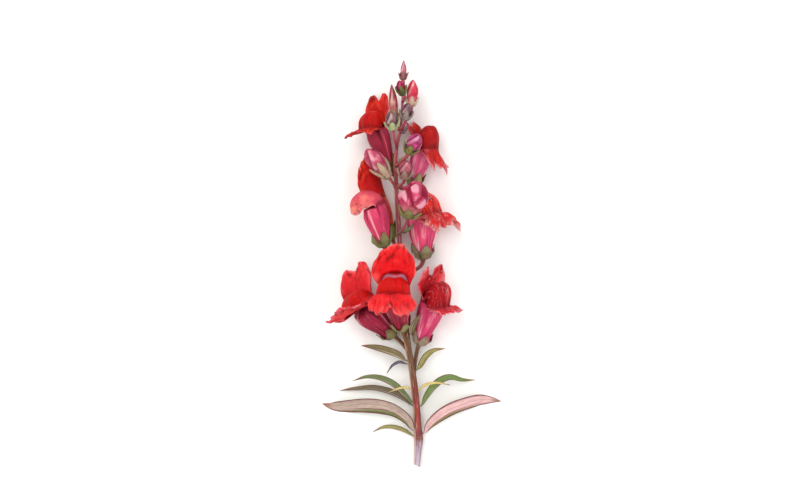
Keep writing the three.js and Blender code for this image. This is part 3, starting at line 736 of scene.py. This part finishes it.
def corolla(bloom):
    """An open bloom's petals, which are one funnel, with crumpled lips and ragged rims.

    v runs across each lip from -1 to 1, turn round the tube, t along the tube and w along the lips.
    """
    upper_v = np.linspace(-1, 1, UPPER_COLUMNS + 1)
    lower_v = np.linspace(-1, 1, LOWER_COLUMNS + 1)[1:-1]
    v = np.concatenate([upper_v, lower_v])
    turn = np.concatenate([upper_v * UPPER_SHARE, np.pi + lower_v * (np.pi - UPPER_SHARE)])
    upper = np.arange(len(v)) <= UPPER_COLUMNS
    t = np.linspace(0.02, 1, TUBE_ROWS)[:, None]
    w = np.linspace(0, 1, LIP_ROWS + 1)[1:, None]
    seed = bloom["seed"]
    rough = bloom["ruffle"]
    lip_half = np.where(upper, bloom["upper"]["half"], LOWER_HALF)
    ragged = 1 + np.where(upper, 0.02, 0.07) * rough * crumple(v * lip_half, 0, seed, 6, 2)
    tube = tube_points(bloom, t, turn)
    share = upper_share(bloom, v, w) * np.where(upper, ragged, 1)
    lips = np.where(upper[:, None], upper_lip(bloom, v, share), lower_lip(bloom, v, w, ragged))
    middle = placed(bloom, np.concatenate([tube, tube[-1] + lips]))
    along = np.concatenate([0 * t, w])
    fall = np.where(upper, smooth(0.3, 1, along), smooth(TUCK_END - 0.08, 1, along))
    lip_length = np.where(upper, bloom["upper"]["length"], bloom["lower"]["length"] / (1 - TUCK_END))
    folds = crumple(v * lip_half, along * lip_length, seed + 1, 9, 3.2)
    frill = crumple(v * lip_half, along * lip_length * 0.6, seed + 2, 3.4, 1.7)
    grooves = np.concatenate([smooth(0.1, 0.5, t), 1 - smooth(0, 0.3, w)])
    lift = rough * (1 - v ** 8) * (0.5 * folds * fall + 0.26 * frill * fall ** 2)
    lift = lift + 0.16 * np.cos(5 * turn) * grooves
    middle = middle + surface_normals(middle, True) * lift[..., None]
    middle = rest(middle, PETAL)
    ball = smooth(CLIMB_END * 0.5, CLIMB_END * 1.4, along) * (1 - smooth(BALL_END, TUCK_END, along))
    none = np.zeros((TUBE_ROWS, len(v)))
    # curl marks the curled edge for a painted lilac highlight, arch the band of painted shade under the arch
    _, curl = brow_lines(bloom, v, np.concatenate([none, share]))
    arch, _ = brow_lines(bloom, v, np.concatenate([none, share + ARCH_SHADE / bloom["upper"]["length"]]))
    middle_part = np.where(upper, 1 - v ** 4, 0)
    depth = np.concatenate([t, np.ones_like(w)])
    marks = {
        "across": v + UPPER_ACROSS * upper,
        "lip": along,
        "tube": depth,
        "palate": np.where(upper, 0, ball),
        # curl carries a painted highlight, arch a band of painted shade, and fold painted shade in its
        # troughs and a painted highlight on its crests
        "curl": curl * middle_part * min(1, bloom["upper"]["curl"]),
        "arch": arch * middle_part * min(1, bloom["upper"]["brow"]),
        "fold": 0.5 + 0.5 * np.clip(folds * fall, -1, 1),
        "ring": points_of(np.cos(turn), np.sin(turn), depth + along),
    }
    thickness = mix(PETAL_SKIN, RIM_SKIN, smooth(0.55, 1, along))
    return sheet(f"petals_{bloom['name']}", middle, thickness, marks, True, placed(bloom, [0, 0, 0]))


def bud_points(bud, t, turn):
    """A bud's round body: fat says where it is widest, and blunt how full its ends are."""
    shape = np.sin(np.pi * np.minimum(1, 0.08 + 0.92 * t) ** bud["fat"]) ** bud["blunt"]
    radius = bud["radius"] * shape * (1 - 0.06 * np.cos(2 * turn))
    over = radius * np.cos(turn) + bud["bend"] * t * t
    return points_of(bud["length"] * t, over, radius * np.sin(turn))


BUD_ROWS = 56
BUD_COLUMNS = 80


def closed_bud(bud):
    """Petals rolled round each other: their edges wind up the bud as low steps."""
    t = np.linspace(0.01, 0.995, BUD_ROWS)[:, None]
    turn = around(BUD_COLUMNS)
    local = bud_points(bud, t, turn)
    fold = np.zeros(local.shape[:2])
    groove = np.zeros(local.shape[:2])
    # fold lifts each rolled petal edge and paints a highlight along it; the groove mark says where shade is
    # painted: under each edge and in the troughs of the crumples
    for start, twist in bud["folds"]:
        off = np.mod(turn - start - twist * t + 0.6, 2 * np.pi) - 0.6
        fold = np.maximum(fold, smooth(0, 0.16, off) * (1 - smooth(0.16, 2.1, off)))
        groove = np.maximum(groove, bump(off + 0.12, 0.22))
    grown = smooth(0.12, 0.4, t)
    creases = crumple(local[..., 1], local[..., 2] + 0.6 * local[..., 0], bud["joins"], 10, 4)
    fold = fold * grown * (1 - 0.6 * smooth(0.9, 1, t)) + bud["crumpled"] * 0.25 * creases * grown
    groove = np.maximum(groove, bud["crumpled"] * smooth(0.3, -0.9, creases)) * grown
    depth = bud["depth"] * bud["radius"]
    local[..., 1:] *= (1 - (0.55 - fold) * depth / bud["radius"] * smooth(0.05, 0.4, t))[..., None]
    ring = points_of(np.cos(turn), np.sin(turn), t)
    marks = {"ring": ring, "tube": t, "fold": fold, "groove": groove}
    ends = placed(bud, [[0, 0, 0], [bud["length"], bud["bend"], 0]])
    return round_body(f"petals_{bud['name']}", placed(bud, local), *ends, marks)


CALYX_ROWS = 22
CALYX_BASE_ROWS = 7
CALYX_COLUMNS = 70
CALYX_START = 0.05  # where its first ring lies, as a share of the bloom's length
SEPAL_SKIN = 0.5


def calyx(bloom, skin, half):
    """Five pointed sepals joined in a round cup, a small gap outside the bloom's own skin."""
    cup, lobe, flare = bloom["calyx"]
    length = bloom["tube"] if "tube" in bloom else bloom["length"]
    off = half + 0.6 * SEAT + SEPAL / 2
    turn = around(CALYX_COLUMNS)
    keel = np.abs(np.cos(2.5 * turn))
    uneven = 1 + 0.14 * np.cos(turn + bloom["joins"])
    own = cup + lobe * keel ** 1.8 * uneven
    share = np.linspace(0, 1, CALYX_ROWS)[:, None]
    reach = mix(CALYX_START * length, own, share)
    local = skin(bloom, reach / length, turn)
    tip = flare + 0.25 * np.sin(3 * turn + bloom["joins"])
    round_off = off + tip * share ** 3 + 0.16 * (keel - 0.5) * smooth(0.1, 0.6, share)
    local[..., 1:] *= (1 + round_off / np.hypot(local[..., 1], local[..., 2]))[..., None]
    bend = np.radians(np.linspace(6, 84, CALYX_BASE_ROWS))[:, None]
    foot = np.array([-1.3 * off, 0, 0])
    base = foot + (local[0] - foot) * points_of(1 - np.cos(bend), np.sin(bend), np.sin(bend))
    middle = rest(placed(bloom, np.concatenate([base, local])), SEPAL)
    along = np.concatenate([0 * bend, share])
    marks = {"keel": keel, "along": along}
    thickness = mix(SEPAL_SKIN, 0.28, along) + 0.12 * keel ** 6
    return sheet(f"sepals_{bloom['name']}", middle, thickness, marks, True, placed(bloom, foot))


# ---------------------------------------------------------------- leaves

LEAF_ROWS = 60
LEAF_COLUMNS = 21
LEAF_SKIN = 0.45
LEAF_ROOT = 0.7  # how far its foot reaches into the rind it grows from


def leaf(name, half, spine, face, fold=0.2, roll=0.0):
    """A narrow leaf along its spine, both margins lifted by fold, and one rolled over by roll."""
    points = curve(spine, LEAF_ROWS)
    t = np.linspace(0, 1, LEAF_ROWS + 1)[:, None]
    places = np.linspace(0, 1, len(face))
    over = points_of(*(np.interp(t[:, 0], places, lean) for lean in zip(*face)), 1)
    along = headings(points)
    over = unit(over - along * (over * along).sum(1, keepdims=True))
    points = points + unit(stem_at(points[0, 1]) - points[0]) * LEAF_ROOT * bump(t, 0.03)
    foot = min(0.5, 0.3 * half) * (1 - t) ** 2
    width = np.maximum(half * np.sin(np.pi * t ** 0.8).clip(0) ** 0.8, foot).clip(0.04 * half)
    v = np.linspace(-1, 1, LEAF_COLUMNS)
    rolled = roll * np.maximum(0, -v) ** 2 * smooth(0, 0.25, t)
    sway = 0.05 * half * np.sin(15 * t + 2 * np.sign(v)) * v * v
    aside = width * v * (1 - 0.35 * rolled)
    lift = width * (fold * np.abs(v) + rolled) - 0.14 * bump(v, 0.1) * smooth(0, 0.1, 1 - t) + sway
    middle = beside(points, np.cross(over, along), aside, over, lift)
    thickness = LEAF_SKIN * (1 - 0.55 * np.abs(v) ** 3) + 0.22 * bump(v, 0.09)
    return sheet(f"blade_{name}", rest(middle, BLADE), thickness, {"across": v, "along": t})


# ---------------------------------------------------------------- hairs

HAIR_LENGTH = 0.4
HAIR_RADIUS = 0.014
HAIR_TIP = 0.005
HAIRS = 1.5  # to a square millimetre
HAIR_SCALES = (0.55, 1.1)  # between which each hair's own size lies
HAIR_SEED = 7
HAIR_FLOOR = 0.8  # height under which none grow


def hair_tree(finish):
    """Short three-sided hairs that stand on a surface, some longer than others."""
    tree = bpy.data.node_groups.new("hairs", "GeometryNodeTree")
    sockets = tree.interface
    sockets.new_socket("Surface", in_out="INPUT", socket_type="NodeSocketGeometry")
    sizes = {"Length": HAIR_LENGTH * MM, "Density": HAIRS / MM ** 2, "Radius": HAIR_RADIUS * MM}
    for name, value in sizes.items():
        sockets.new_socket(name, in_out="INPUT", socket_type="NodeSocketFloat").default_value = value
    sockets.new_socket("Hairs", in_out="OUTPUT", socket_type="NodeSocketGeometry")

    def node(kind, **settings):
        made = tree.nodes.new(kind)
        for setting, value in settings.items():
            setattr(made, setting, value)
        return made

    given = node("NodeGroupInput")
    result = node("NodeGroupOutput")
    scatter = node("GeometryNodeDistributePointsOnFaces", distribute_method="RANDOM")
    scatter.inputs["Seed"].default_value = HAIR_SEED
    hair = node("GeometryNodeMeshCone", fill_type="NGON")
    hair.inputs["Vertices"].default_value = 3
    hair.inputs["Radius Top"].default_value = HAIR_TIP * MM
    size = node("FunctionNodeRandomValue", data_type="FLOAT")
    low, high = [socket for socket in size.inputs if socket.enabled and socket.type == "VALUE"][:2]
    low.default_value, high.default_value = HAIR_SCALES
    copies = node("GeometryNodeInstanceOnPoints")
    real = node("GeometryNodeRealizeInstances")
    painted = node("GeometryNodeSetMaterial")
    painted.inputs["Material"].default_value = finish
    grown = next(socket for socket in size.outputs if socket.enabled)
    tree.links.new(grown, copies.inputs["Scale"])
    for source, output, target, socket in (
        (given, "Surface", scatter, "Mesh"),
        (given, "Density", scatter, "Density"),
        (given, "Length", hair, "Depth"),
        (given, "Radius", hair, "Radius Bottom"),
        (scatter, "Points", copies, "Points"),
        (scatter, "Rotation", copies, "Rotation"),
        (hair, "Mesh", copies, "Instance"),
        (copies, "Instances", real, "Geometry"),
        (real, "Geometry", painted, "Geometry"),
        (painted, "Geometry", result, "Hairs"),
    ):
        tree.links.new(source.outputs[output], target.inputs[socket])
    return tree


def hairs(name, pieces, tree):
    """Hairs on several pieces, as one plain mesh. None grow where the pieces lie on the surface."""
    carrier = add(name, joined([piece.data for piece in pieces], name))
    carrier.modifiers.new("hairs", "NODES").node_group = tree
    grown = bpy.data.meshes.new_from_object(carrier.evaluated_get(bpy.context.evaluated_depsgraph_get()))
    carrier.modifiers.clear()
    carrier.data = grown
    return carrier


def joined(meshes, name):
    """One mesh of those faces of several on which hairs grow, without their marks."""
    points, faces, start = [], [], 0
    for mesh in meshes:
        here = np.empty(len(mesh.vertices) * 3)
        mesh.vertices.foreach_get("co", here)
        points.append(here.reshape(-1, 3))
        high = points[-1][:, 2] > HAIR_FLOOR * MM
        for face in mesh.polygons:
            if high[list(face.vertices)].all():
                faces.append([start + k for k in face.vertices])
        start += len(mesh.vertices)
    whole = bpy.data.meshes.new(name)
    whole.from_pydata(np.vstack(points).tolist(), [], faces)
    return whole


def put(piece, material, slot, *nodes):
    """Gives a piece its material and body, and says which CAD nodes it stands for."""
    piece.data.materials.clear()
    piece.data.materials.append(material)
    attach(piece, "root")
    if nodes:
        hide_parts(*nodes)
    return piece


# ---------------------------------------------------------------- the blooms, one by one

UPPER = dict(
    length=17, half=13, lean=[12, 50, 95], notch=0.2, square=4, wrap=20, cheek=0, brow=0.8, arch=4,
    curl=0, wave=0.7,
)
LOWER = dict(
    crest=3, reach=3.5, front=6, round=5.6, palate=7.0, swell=12, apron=1, length=11,
    roll=[160, 85, 105], fan=60, clefts=[(-0.34, 0.3), (0.34, 0.3)], skirt=0.25, wave=0.8,
)
GROWN = dict(tube=21, throat=6.8, bend=0, calyx=(3, 4, 0.3), ruffle=1.0)
YOUNG = dict(GROWN, tube=20, throat=5.6, ruffle=0.8)

BLOOMS = [
    dict(GROWN, name="front", joins=-43, tube=24.5, seed=1, base=[-4.9, -33.5, 13.4],
         along=[-0.14, 0.74, 0.66], up=[0.15, 0.66, -0.73],
         upper=dict(UPPER, length=22, half=14.5, lean=[20, 40, 62], notch=0.0, square=1.5, wrap=46,
                    cheek=7, brow=2, arch=8.5, curl=2.2),
         lower=dict(LOWER, length=9.5, palate=7.8, crest=4.5, round=5.6, fan=55, roll=[145, 25, 125],
                    clefts=[(0, 0.35), (-0.5, 0.2), (0.5, 0.2)])),
    dict(GROWN, name="lower_left", joins=-46, seed=2, base=[-9.6, -37.4, 5.4], along=[-0.69, 0.62, 0.38],
         up=[0.28, 0.58, -0.76],
         upper=dict(UPPER, length=21, half=12, lean=[20, 50, 65], notch=0.12),
         lower=dict(LOWER, length=12, roll=[145, 50, 40], front=8, round=7, crest=6.5, palate=9, fan=70)),
    dict(GROWN, name="lower_right", joins=-63, tube=23, seed=3, base=[4.4, -41.6, 5.4],
         along=[0.3, 0.9, 0.3], up=[-0.8, 0.4, -0.45],
         upper=dict(UPPER, length=19, half=14, lean=[0, 0, 8], notch=0.3),
         lower=dict(LOWER, length=6.5, roll=[170, 80, 70], front=9, round=5, apron=4, palate=8)),
    dict(YOUNG, name="left_hood", joins=4, seed=4, base=[-10.2, 13.4, 5.6], along=[-0.4, 0.91, 0],
         up=[0.55, 0.3, 0.8],
         upper=dict(UPPER, length=24, half=11, lean=[0, 4, 0], notch=0, square=1.3, wrap=75, brow=0),
         lower=dict(LOWER, length=4, crest=0.5, roll=[100, 60, 40], fan=40, reach=4, front=2, round=2,
                    palate=5)),
    dict(GROWN, name="left_drooping", joins=0, tube=20, seed=5, ruffle=0.4, base=[-13.8, 9.4, 18.2],
         along=[-0.27, 0.95, 0.12], up=[0.9, 0.3, 0.1],
         upper=dict(UPPER, length=32, half=13, lean=[0, -95, -205], notch=0.1, square=6, wrap=160, brow=0),
         lower=dict(LOWER, length=3, crest=4, roll=[120, 90, 110], fan=40, reach=2, front=5, round=5.5,
                    palate=4.6, swell=0)),
    dict(GROWN, name="right_ruffled", joins=-6, seed=6, ruffle=1.3, throat=7.6, base=[6.2, 3, 5.9],
         along=[-0.03, 0.99, 0.06], up=[-0.8, 0.25, -0.55],
         upper=dict(UPPER, length=13, half=8, lean=[-5, 0, 10]),
         lower=dict(LOWER, length=10.5, roll=[160, 80, 125], palate=8, front=9.5, round=6, apron=4,
                    wave=1.4)),
    dict(YOUNG, name="upper_left", joins=46, tube=22, seed=7, base=[-11, 49.4, 5.2],
         along=[-0.33, 0.92, 0.2], up=[0.65, 0.25, -0.65],
         upper=dict(UPPER, length=17, half=9, lean=[0, 15, 50]),
         lower=dict(LOWER, length=7.5, palate=6.4, front=6.4, round=5.4, crest=4, apron=2,
                    roll=[160, 75, 85])),
    dict(YOUNG, name="upper_right", joins=41, seed=8, base=[0.8, 41, 5.2], along=[0.29, 0.94, 0.14],
         up=[-0.82, 0.35, -0.4],
         upper=dict(UPPER, length=13, half=9.5, lean=[10, 35, 60]),
         lower=dict(LOWER, length=10.5, palate=6, front=9, round=4.6, apron=4, roll=[165, 140, 130],
                    fan=45)),
]

# Each bloom's strength of pale streaks, and its colours: lip, rim (also a painted highlight on fold crests),
# palate, deep (dark streaks and veins, and painted shade in the mouth, folds and creases), back, tube, its
# stripes, pale streaks (also a painted highlight on the lips' sides), brow (a painted highlight on the curled
# edge over the mouth).
PETAL_COLOURS = {
    "front": (0.12, "d81018 ec3436 c20806 620004 c01c28 9c2a40 6c0a22 f0807c b07c94"),
    "lower_left": (0.15, "d41c24 e84040 c00806 640004 c03048 9c2440 4c0c20 f090a0 c878a0"),
    "lower_right": (0.75, "cc1420 e2343c a80612 5c0008 b8203c d0406a 841034 fac0cc b04868"),
    "left_hood": (0.12, "c41210 dc3a20 a00808 640006 b41c20 e0583c b02830 f8a888 b87880"),
    "left_drooping": (0.5, "cc4456 f09878 6c0410 54040c cc4858 c83c60 7c1430 f4acb0 e07a80"),
    "right_ruffled": (0.95, "d42418 c4100e dc2014 780008 cc3c50 e04c74 8c1c44 fbe0de b03048"),
    "upper_left": (0.12, "b81008 dc3c20 b80a06 540004 98101c a02a42 480c1c d8606c a82828"),
    "upper_right": (0.15, "b01008 cc2818 a00806 500004 a01018 e4608a a02850 fcc4d4 982828"),
}
# Colours of each calyx: sepals, their edges and patches, shade.
SEPAL_COLOURS = {
    "front": "84804c 7a4c40 55542e", "lower_left": "7c7448 74443a 4c4a28",
    "lower_right": "96806a 8a4a50 5e5038", "left_hood": "86924e 6c5a36 545c30",
    "left_drooping": "7a7648 5c4a34 44462a", "right_ruffled": "8c8460 7c5058 565236",
    "upper_left": "847c50 74503c 50502e", "upper_right": "90905c 7c5a44 5a5a34",
    "right_folded": "7c7c46 5c4a30 4c4c28", "left_large": "b8a084 946c68 6c6448",
    "right_round": "a88c7c 8c5c60 685848", "right_upper": "7e7c40 4c3c2c 484a24",
    "front_mauve": "a8b080 a09078 647448", "upper_brown": "948680 6c4c50 5a4c48",
    "upper_slender": "b0ac74 94585a 74704a", "crown_right": "c0a890 c05a58 8c6c58",
    "top_round": "6c6c38 3c3424 40421f", "tip": "945c5c 5c3438 6c4444",
}

downy = []
for bloom in BLOOMS:
    name = bloom["name"]
    put(corolla(bloom), petal_finish(name, *PETAL_COLOURS[name]), "petal_red", f"corolla_{name}")
    sepals = calyx(bloom, tube_points, PETAL / 2)
    downy.append(put(sepals, sepal_finish(name, SEPAL_COLOURS[name]), "calyx_olive", f"calyx_{name}"))

# ---------------------------------------------------------------- the buds

BUD_SLACK = 0.3  # how much looser a bud's calyx sits than a seat's gap
CLOSED = dict(
    bend=0, fat=1.1, blunt=0.55, up=[0, 0, 1], calyx=(1.6, 2.8, 0), depth=0.16, crumpled=0.4,
    folds=[(0.4, 1.6), (2.5, 1.6), (4.6, 1.6)],
)
BUDS = [
    dict(CLOSED, name="right_folded", length=19, radius=6.8, joins=15, fat=1.2, blunt=0.5,
         base=[-1.6, 24, 26.8], along=[0.27, 0.93, 0.16], calyx=(1.8, 2.6, 0), depth=0.36, crumpled=1.2,
         folds=[(5.6, 2.4), (1.2, 2.4), (3.6, 2.4)]),
    dict(CLOSED, name="left_large", length=18, radius=4.3, joins=38, fat=1.3, base=[-12, 45, 16],
         along=[-0.62, 0.76, 0.12], calyx=(2.6, 6, 0)),
    dict(CLOSED, name="right_round", length=9, radius=3.4, joins=39, base=[-3.4, 44.6, 16.1],
         along=[0.12, 0.93, 0.3]),
    dict(CLOSED, name="right_upper", length=11, radius=3.6, joins=50, base=[-1.3, 57.4, 19.6],
         along=[0.5, 0.82, 0.25]),
    dict(CLOSED, name="front_mauve", length=9, radius=3.1, joins=60, base=[-9.5, 69.5, 23.8],
         along=[-0.12, 0.92, 0.3]),
    dict(CLOSED, name="upper_brown", length=8, radius=2.8, joins=69, base=[-2.8, 75, 16.4],
         along=[0.16, 0.95, 0.2]),
    dict(CLOSED, name="upper_slender", length=19, radius=2.2, joins=69, fat=0.85, blunt=0.7,
         base=[-8.5, 74, 13], along=[-0.08, 0.98, 0]),
    dict(CLOSED, name="crown_right", length=13, radius=2.8, joins=77, fat=1, blunt=0.6,
         base=[0.3, 82.4, 11.5], along=[0.06, 0.98, 0]),
    dict(CLOSED, name="top_round", length=7, radius=2.1, joins=84, base=[-4.4, 88, 14.5],
         along=[-0.25, 0.95, 0.1]),
    dict(CLOSED, name="tip", length=9.5, radius=1.5, joins=92, fat=0.8, blunt=0.8,
         base=[-4.1, 96.4, 9.5], along=[0.04, 1, 0], calyx=(1, 2, 0)),
]
# Colours of each bud: petals, their shade (dark streaks, and painted shade in the grooves), pale edges (pale
# streaks, and a painted highlight on the rolled edges), base.
BUD_COLOURS = {
    "right_folded": "d24870 880c2c fabcca b87c70", "left_large": "cc5470 8c2448 f0c4c4 c4a48c",
    "right_round": "b8606c 7c3044 e4b0b0 b09080", "right_upper": "d04880 741a48 f4b4cc 847c50",
    "front_mauve": "8c6468 4c2c34 d0b8b0 a09c78", "upper_brown": "90606c 54303c c4a8a8 887a64",
    "upper_slender": "b84c60 741830 e4c8a8 aaa070", "crown_right": "dc3c54 a81c34 f8c8c4 e88ca4",
    "top_round": "a81848 5c0a2a d85880 5c5a30", "tip": "c87080 90384c ecc0c4 9c6464",
}

for bud in BUDS:
    name = bud["name"]
    put(closed_bud(bud), bud_finish(name, BUD_COLOURS[name]), "bud_pink", f"bud_{name}")
    sepals = calyx(bud, bud_points, BUD_SLACK)
    downy.append(put(sepals, sepal_finish(name, SEPAL_COLOURS[name]), "calyx_olive", f"calyx_{name}"))

# ---------------------------------------------------------------- the leaves

# Colours of each kind of leaf: upper side, lower side, margin, tip, shade. Then, for a leaf that has a
# band along one margin, its colour, its side and where it begins.
LEAF_COLOURS = {
    "grey_mauve": ("c6aea2 7e8c56 642c24 9c5038 987c70", "648048", 1, 0.5),
    "pink": ("e6bebc 7c8c50 642c24 74502c cc9494", "848450", -1, 0.52),
    "green": ("7c8c5a 8c9068 5c3028 8c543c 4c5834", "a09c80", 1, 0.45),
    "bright": ("7c9854 8c9860 5c3424 8c6838 546238", "98a078", -1, 0.5),
    "olive_grey": ("847a60 948c6c 5c2c24 7c382c 5a4836", "98948c", 1, 0.4),
    "olive_brown": ("8c8058 948c6c 64342c 8c382c 5c5038", "b0ac88", 1, 0.4),
    "violet": ("7a707c 8c8490 443844 3c3440 4c4250",),
    "olive_yellow": ("aca864 b8b080 64382c 7c5438 746038", "84884c", -1, 0.4),
    "straw": ("e4d490 dcd098 b08850 a87c4c bca45c",),
    "mauve": ("947884 a0848c 5c3440 502c3c 644854",),
}
# Each leaf's name, kind, half width, how far its upper side leans in x and y from foot to tip, its middle
# line, and then how far its margins are lifted and how far one is rolled over.
LEAVES = [
    ("leaf_big_left", "grey_mauve", 4.7, [[-0.3, -0.3], [0, -0.25], [0, -0.1]],
     [[0.95, -87.9, 3.6], [-1.6, -82, 5.2], [-8, -76.6, 6], [-15.8, -74.3, 5.8], [-24, -73.8, 4.6],
      [-32, -74.4, 2], [-38, -74.9, -0.5], [-42, -74.9, -0.9], [-46.4, -73.9, -1]], 0.1, 0.5),
    ("leaf_big_right", "pink", 3.6, [[0.4, -0.3], [0, -0.3], [0, -0.1]],
     [[7.1, -89.6, 3.4], [9.4, -85, 5.2], [13.8, -80.6, 6.2], [19.3, -77, 6.2], [25, -74.6, 5.2],
      [34.5, -72, 2], [39, -71.7, -0.5], [43, -71.9, -0.9], [47.2, -72.6, -1]], 0.15, -0.4),
    ("leaf_low_left", "olive_yellow", 1.1, [[0, 0], [0, 0]],
     [[1.2, -90.8, 1.4], [-3, -88, 1.3], [-9, -86, 1], [-14.5, -86.2, 0.7], [-19.8, -88.6, 0.5]]),
    ("leaf_middle_left_upper", "green", 1.6, [[-0.5, 0.2], [0, 0.2]],
     [[1.1, -73.4, 5.8], [-3, -68.6, 8.4], [-8.6, -63.2, 10], [-15.5, -59.9, 9.8], [-23, -59.3, 8],
      [-30.7, -61.8, 4.8]]),
    ("leaf_middle_left_lower", "olive_grey", 1.6, [[-0.5, 0.2], [0, 0.2]],
     [[0.7, -74.8, 3], [-3.4, -71, 3.8], [-8.8, -68, 4], [-18.7, -65.4, 3.2], [-29, -65.8, 2],
      [-37.4, -67, 1]]),
    ("leaf_middle_right", "bright", 1.9, [[0.5, 0.2], [0, 0.2]],
     [[5.7, -75.2, 4], [7.6, -70.4, 5.6], [11.2, -65, 6.6], [15.6, -61.2, 6.6], [20.5, -59.6, 5.8],
      [27, -61.2, 4], [33.8, -61.4, 1.6]]),
    ("leaf_yellow_left", "straw", 0.7, [[0, 0], [0, 0]],
     [[-0.15, -66.6, 6.4], [-1.6, -64.9, 9.6], [-6, -65, 12.8], [-12.5, -67.6, 12.8]]),
    ("leaf_yellow_right", "straw", 0.8, [[0.3, 0], [0, 0]],
     [[4.4, -66.8, 6], [6.8, -64, 8.2], [12.5, -62.4, 9.4], [20.3, -63.5, 8.6]]),
    ("bract_left", "olive_brown", 1.9, [[-0.5, 0.3], [0, 0.2]],
     [[-2.6, -51.2, 7], [-6.5, -47.8, 8.2], [-13.5, -45.2, 8], [-20, -43.8, 6.6], [-26, -43.2, 4.2]]),
    ("bract_left_small", "violet", 0.8, [[0, 0], [0, 0]],
     [[-2.2, -52.8, 5.2], [-6, -51.8, 5], [-9.6, -53.6, 4], [-12.5, -57.7, 2.6]]),
    ("bract_right", "olive_yellow", 1.7, [[0.5, 0], [0, 0]],
     [[3.2, -56.2, 5.6], [5.2, -52.8, 6.2], [7.6, -48.8, 6.2], [11.6, -45.8, 5.4], [17.7, -44.8, 4]]),
    ("leaflet_lower_right", "olive_brown", 1.4, [[0.3, 0], [0, 0]],
     [[0, -37.1, 10.1], [0.8, -34.2, 13.2], [2.5, -30, 17], [5.2, -25.6, 18.4]]),
    ("leaflet_right", "green", 1.1, [[0.3, 0], [0, 0]],
     [[-4.4, 15.6, 13.2], [-2.8, 16.6, 14.8], [-0.4, 18.2, 15.6], [1.8, 21, 15.6]]),
    ("leaflet_upper_right", "olive_brown", 1.1, [[0.3, 0], [0, 0]],
     [[-6.6, 52.2, 11.9], [-4.4, 53.8, 12.6], [-2.4, 55.2, 12.4], [-0.4, 57.2, 11.4]]),
    ("leaflet_top", "mauve", 0.9, [[0.3, 0], [0, 0]],
     [[-4.8, 67.2, 11.5], [-3.6, 68.3, 13], [-2.5, 69.9, 14.4], [-1.5, 72.6, 15.2]]),
]

leaf_finishes = {kind: leaf_finish(kind, *colours) for kind, colours in LEAF_COLOURS.items()}
for name, kind, half, face, spine, *bends in LEAVES:
    slot = "leaf_yellow" if kind == "straw" else "leaf_green"
    put(leaf(name, half, spine, face, *bends), leaf_finishes[kind], slot, name)

# ---------------------------------------------------------------- the stem with its pedicels

STALK_RADIUS = 1.0
BUD_STALK_RADIUS = 0.7
PEDICEL_STEPS = 20
PEDICEL_SIDES = 16


def pedicel(bloom):
    """A bloom's stalk, which swells where it leaves the stem and under the calyx."""
    axis = unit(np.array(bloom["along"], float))
    foot = (PETAL / 2 if "tube" in bloom else BUD_SLACK) + SEAT + SEPAL
    end = np.array(bloom["base"]) - axis * foot
    start = stem_at(bloom["joins"])
    knee = end - axis * 0.35 * np.linalg.norm(end - start)
    t = np.linspace(0, 1, PEDICEL_STEPS + 1)
    points = mix(mix(start, knee, t[:, None]), mix(knee, end, t[:, None]), t[:, None])
    thick = STALK_RADIUS if "tube" in bloom else BUD_STALK_RADIUS
    travel = t * np.linalg.norm(end - start)
    flare = 0.45 * bump(travel - 1.0, 1.6) + 0.3 * bump(travel - travel[-1], 1.2)
    return rod(f"stalk_{bloom['name']}", points, thick * (mix(0.9, 1.15, t) + flare), PEDICEL_SIDES)


stem = rod("stem_and_stalks", stem_line[:, :3], stem_line[:, 3], STEM_SIDES, RIB_HEIGHT, CUT_SLANT)
stalks = [pedicel(bloom) for bloom in (*BLOOMS, *BUDS)]
with bpy.context.temp_override(active_object=stem, selected_editable_objects=[stem, *stalks]):
    bpy.ops.object.join()
put(stem, stem_finish(), "stem_bark", "stem")

down = Finish("pale_down", Base_Color=paint("c0b098"), Roughness=0.5, Specular_IOR_Level=0.2).material
put(hairs("down_on_stalks_and_calyxes", [stem, *downy], hair_tree(down)), down, None)

# ---------------------------------------------------------------- floor, lights and camera

VIEW_CENTRE = (-5.7 * MM, 6.8 * MM, 12 * MM)
VIEW_WIDTH = 416 * MM
LENS = 100.0
SENSOR = 36.0


def floor():
    """A wide pale surface under the stem."""
    reach = 4.0  # metres
    mesh = bpy.data.meshes.new("floor")
    mesh.from_pydata([(-reach, -reach, 0), (reach, -reach, 0), (reach, reach, 0), (-reach, reach, 0)], [],
                     [(0, 1, 2, 3)])
    finish = Finish("pale_surface", Roughness=0.9, Specular_IOR_Level=0.1)
    finish.feed("Base Color", finish.blend(*paints("fbfaf8 f8f7f4"), finish.speckle(3)))
    mesh.materials.append(finish.material)
    add("floor", mesh)


def lamp(name, place, size, power, colour=(1, 1, 1)):
    """A square soft lamp that is turned towards the stem. Its place and size are in metres."""
    light = bpy.data.lights.new(name, "AREA")
    light.size = size
    light.energy = power
    light.color = colour
    source = add(name, light)
    source.location = place
    aim = Vector(VIEW_CENTRE) - Vector(place)
    source.rotation_euler = aim.to_track_quat("-Z", "Y").to_euler()


floor()
lamp("key", (-0.6, 0.5, 1.1), 1.4, 14, (1.0, 0.98, 0.95))
lamp("fill", (0.9, 0.1, 0.9), 1.2, 7, (0.95, 0.97, 1.0))
lamp("low", (0.1, -1.1, 0.7), 1.0, 4)

world = bpy.data.worlds.new("studio")
world.use_nodes = True
world.node_tree.nodes["Background"].inputs["Color"].default_value = (1, 1, 1, 1)
world.node_tree.nodes["Background"].inputs["Strength"].default_value = 0.63
bpy.context.scene.world = world
bpy.context.scene.view_settings.view_transform = "Standard"

lens = bpy.data.cameras.new("camera")
lens.lens = LENS
lens.sensor_width = SENSOR
camera = add("camera", lens)
camera.location = (VIEW_CENTRE[0], VIEW_CENTRE[1], VIEW_CENTRE[2] + VIEW_WIDTH * LENS / SENSOR)
bpy.context.scene.camera = camera
